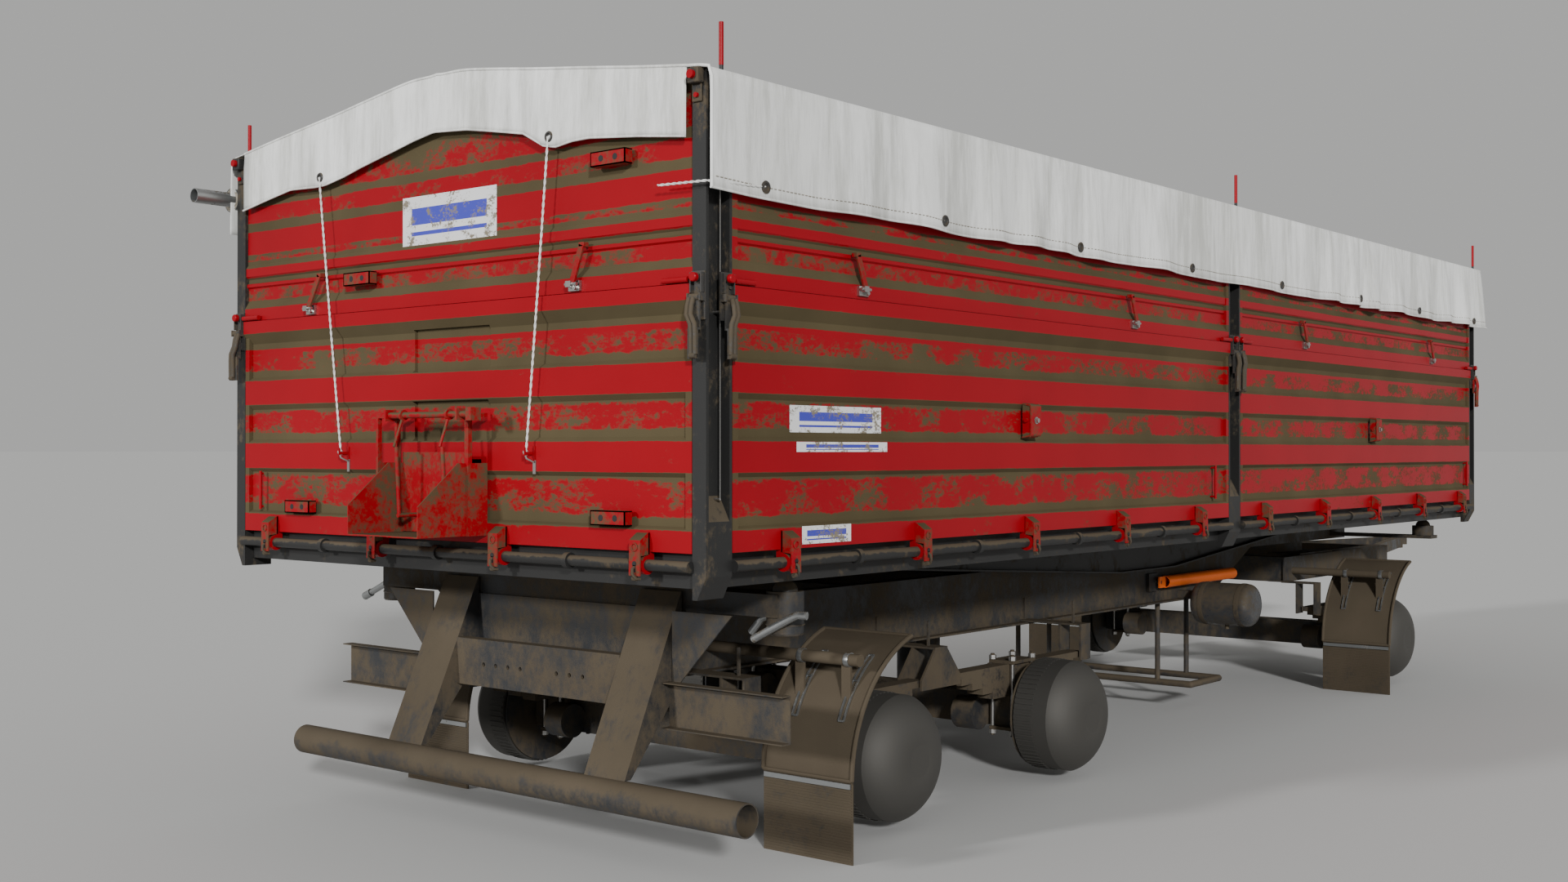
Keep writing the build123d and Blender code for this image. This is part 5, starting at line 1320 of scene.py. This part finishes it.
class RunningGearOperator(Operator):
    """Fits the small parts of the axles, guards and chassis"""

    bl_idname = "trailer.fit_running_gear"
    bl_label = "Running gear"

    def execute(self, context):
        ribs = context.scene.trailer_shape.flap_ribs
        for body, rows in (("chassis", ("rear", "middle")), ("dolly", ("front",))):
            places = []
            for row in rows:
                for x in (0.699, 0.801, -0.699, -0.801):
                    for along in (-0.082, 0.082):
                        places.append(((x, AXLES[row] + along, 0), (0, 0, 0)))
            fittings(body + "_u_bolts", u_bolt, places, body, "bare_steel", spread=0.0)
        for row, y in AXLES.items():
            for side, word in ((1, "right"), (-1, "left")):
                start = 0.906 if side > 0 else -0.991
                turns = [((start, y, AXLE_Z), (2 * math.pi * i / 64, 0, 0)) for i in range(64)]
                body = f"drum_{word}_{row}"
                fittings(body + "_ribs", drum_rib, turns, body, "cast_drum")
        self.guards(ribs)
        self.pull_pins()
        self.chassis_parts()
        return {"FINISHED"}

    def guards(self, ribs):
        """Rims, straps and clamps of the mudguards, and the ribs of the flaps."""
        for body, y in (("chassis", AXLES["rear"]), ("dolly", AXLES["front"])):
            rims, bright, rib_places = bmesh.new(), bmesh.new(), []

            def at(x, angle, r=0.503):
                a = math.radians(angle)
                return x, y + r * math.cos(a), AXLE_Z + r * math.sin(a)

            for side in (1, -1):
                for x in (0.821, 1.219):
                    tube(rims, [at(side * x, a) for a in range(107, 181, 4)], 0.0085, sides=8)
                for a in (107, 179):
                    tube(rims, [at(side * 0.821, a), at(side * 1.219, a)], 0.0075, sides=8)
                for x in (0.930, 1.140):
                    for edge in (-0.011, 0.011):
                        strap = [at(side * (x + edge), a, 0.5045) for a in range(124, 157, 4)]
                        tube(bright, strap, 0.0045, sides=4)
                    for a in (124, 138, 156):
                        bar = [at(side * (x + edge), a, 0.5045) for edge in (-0.012, 0.012)]
                        tube(bright, bar, 0.0045, sides=4)
                    ring(bright, (side * x, y - 0.415, 0.695), (1, 0, 0), 0.0240, 0.0030, around=22, squash=4)
                block(bright, (side * 0.826, y - 0.500, 0.262), (side * 1.214, y - 0.508, 0.2795))
                for i in range(ribs):
                    rib_places.append(((side * 1.020, y - 0.500, 0.008 + 0.248 * i / (ribs - 1)), (0, 0, 0)))
            piece(body + "_guard_rims", rims, body, "guard_plastic")
            piece(body + "_guard_straps", bright, body, "galvanised")
            fittings(body + "_flap_ribs", flap_rib, rib_places, body, "flap_rubber")

    def pull_pins(self):
        """The bent pins that lock the tipping balls, and bright rings on the cups."""
        bm = bmesh.new()
        y = TIP_Y
        tube(bm, [(0.996, y, 0.862), (0.960, y - 0.006, 0.850), (0.914, y - 0.010, 0.798)], 0.0135, sides=12)
        tube(bm, [(0.986, y - 0.082, 0.786), (1.060, y - 0.084, 0.822), (1.150, y - 0.084, 0.866),
                  (1.180, y - 0.080, 0.880), (1.212, y - 0.070, 0.878)], 0.0140, sides=12)
        tube(bm, [(-1.120, y, 0.866), (-1.165, y, 0.858), (-1.300, y, 0.800)], 0.0135, sides=12)
        tube(bm, [(-1.255, y, 0.819), (-1.300, y, 0.800)], 0.0170, sides=12)
        piece("pull_pins", bm, "chassis", "galvanised")
        bm = bmesh.new()
        for x in (-BALL_X, BALL_X):
            tube(bm, [(x, y, 0.807), (x, y, 0.800), (x, y, 0.797)], 0.066, sides=32, radii=(0.066, 0.062, 0.030))
            ring(bm, (x, y, 0.835), (0, 0, 1), 0.0655, 0.0030, around=32)
        piece("cup_bottoms", bm, "chassis", "worn_cup")

    def chassis_parts(self):
        """Tank straps, rail flanges, gussets and plates."""
        bm = bmesh.new()
        for x in (0.650, 0.860):
            ring(bm, (x, 0.089, 0.591), (1, 0, 0), 0.1160, 0.0022, around=40, squash=7)
        tube(bm, [(0.760, 0.089, 0.478), (0.760, 0.089, 0.455)], 0.012, sides=10)
        piece("tank_straps", bm, "chassis", "muddy_springs")
        bm = bmesh.new()
        for side in (1, -1):
            block(bm, (side * 0.475, -4.150, 0.601), (side * 0.520, 0.480, 0.609))
            prism(bm, [(side * 0.475, 0.862), (side * 0.720, 0.862), (side * 0.475, 0.690)], "y", -4.140, -4.132)
            gusset = ((0.660, 0.866), (0.940, 0.866), (0.700, 0.619), (0.660, 0.619))
            prism(bm, [(side * x, z) for x, z in gusset], "y", -4.212, -4.206)
        piece("rail_flanges", bm, "chassis", "muddy_chassis")
        bm = bmesh.new()
        tube(bm, [(0.5195, -0.216, 0.716), (0.480, -0.216, 0.716)], 0.010, sides=10)
        block(bm, (0.476, -0.300, 0.668), (0.492, -0.200, 0.764))
        piece("prop_lug", bm, "chassis", "muddy_chassis")


class FinishesOperator(Operator):
    """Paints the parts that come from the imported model"""

    bl_idname = "trailer.paint_parts"
    bl_label = "Finishes"

    def execute(self, context):
        chosen = {n: finish for finish, nodes in NODE_FINISHES.items() for n in nodes}
        for name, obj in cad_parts.items():
            if name.startswith("drum_"):
                finish = "cast_drum"
            elif name.startswith("lever_"):
                finish = "red_fitting" if name == "lever_right_front_side" else "lock_steel"
            else:
                finish = chosen[name]
            obj.data.materials.clear()
            obj.data.materials.append(material(finish))
        return {"FINISHED"}


class TrailerPanel(Panel):
    """Lists the steps that build the trailer"""

    bl_idname = "VIEW3D_PT_grain_trailer"
    bl_label = "Grain trailer"
    bl_space_type = "VIEW_3D"
    bl_region_type = "UI"
    bl_category = "Trailer"

    def draw(self, context):
        for step in STEPS:
            self.layout.operator(step.bl_idname)
        for group in (context.scene.trailer_finish, context.scene.trailer_shape, context.scene.trailer_stage):
            for prop in group.bl_rna.properties:
                if not prop.is_readonly and prop.identifier != "name":
                    self.layout.prop(group, prop.identifier)


STEPS = (StageOperator, CordsOperator, FinishesOperator, HardwareOperator, RunningGearOperator, TarpOperator)
GROUPS = {"trailer_finish": TrailerFinish, "trailer_shape": TrailerShape, "trailer_stage": TrailerStage}


def register():
    """Adds the properties, the operators and the panel."""
    for name, group in GROUPS.items():
        bpy.utils.register_class(group)
        setattr(bpy.types.Scene, name, PointerProperty(type=group))
    for made in (*STEPS, TrailerPanel):
        bpy.utils.register_class(made)


def unregister():
    """Takes them away again."""
    for made in (TrailerPanel, *reversed(STEPS)):
        bpy.utils.unregister_class(made)
    for name, group in GROUPS.items():
        delattr(bpy.types.Scene, name)
        bpy.utils.unregister_class(group)


def main():
    """Builds everything in order."""
    register()
    for step in STEPS:
        category, call = step.bl_idname.split(".")
        getattr(getattr(bpy.ops, category), call)()


if __name__ == "__main__":
    main()
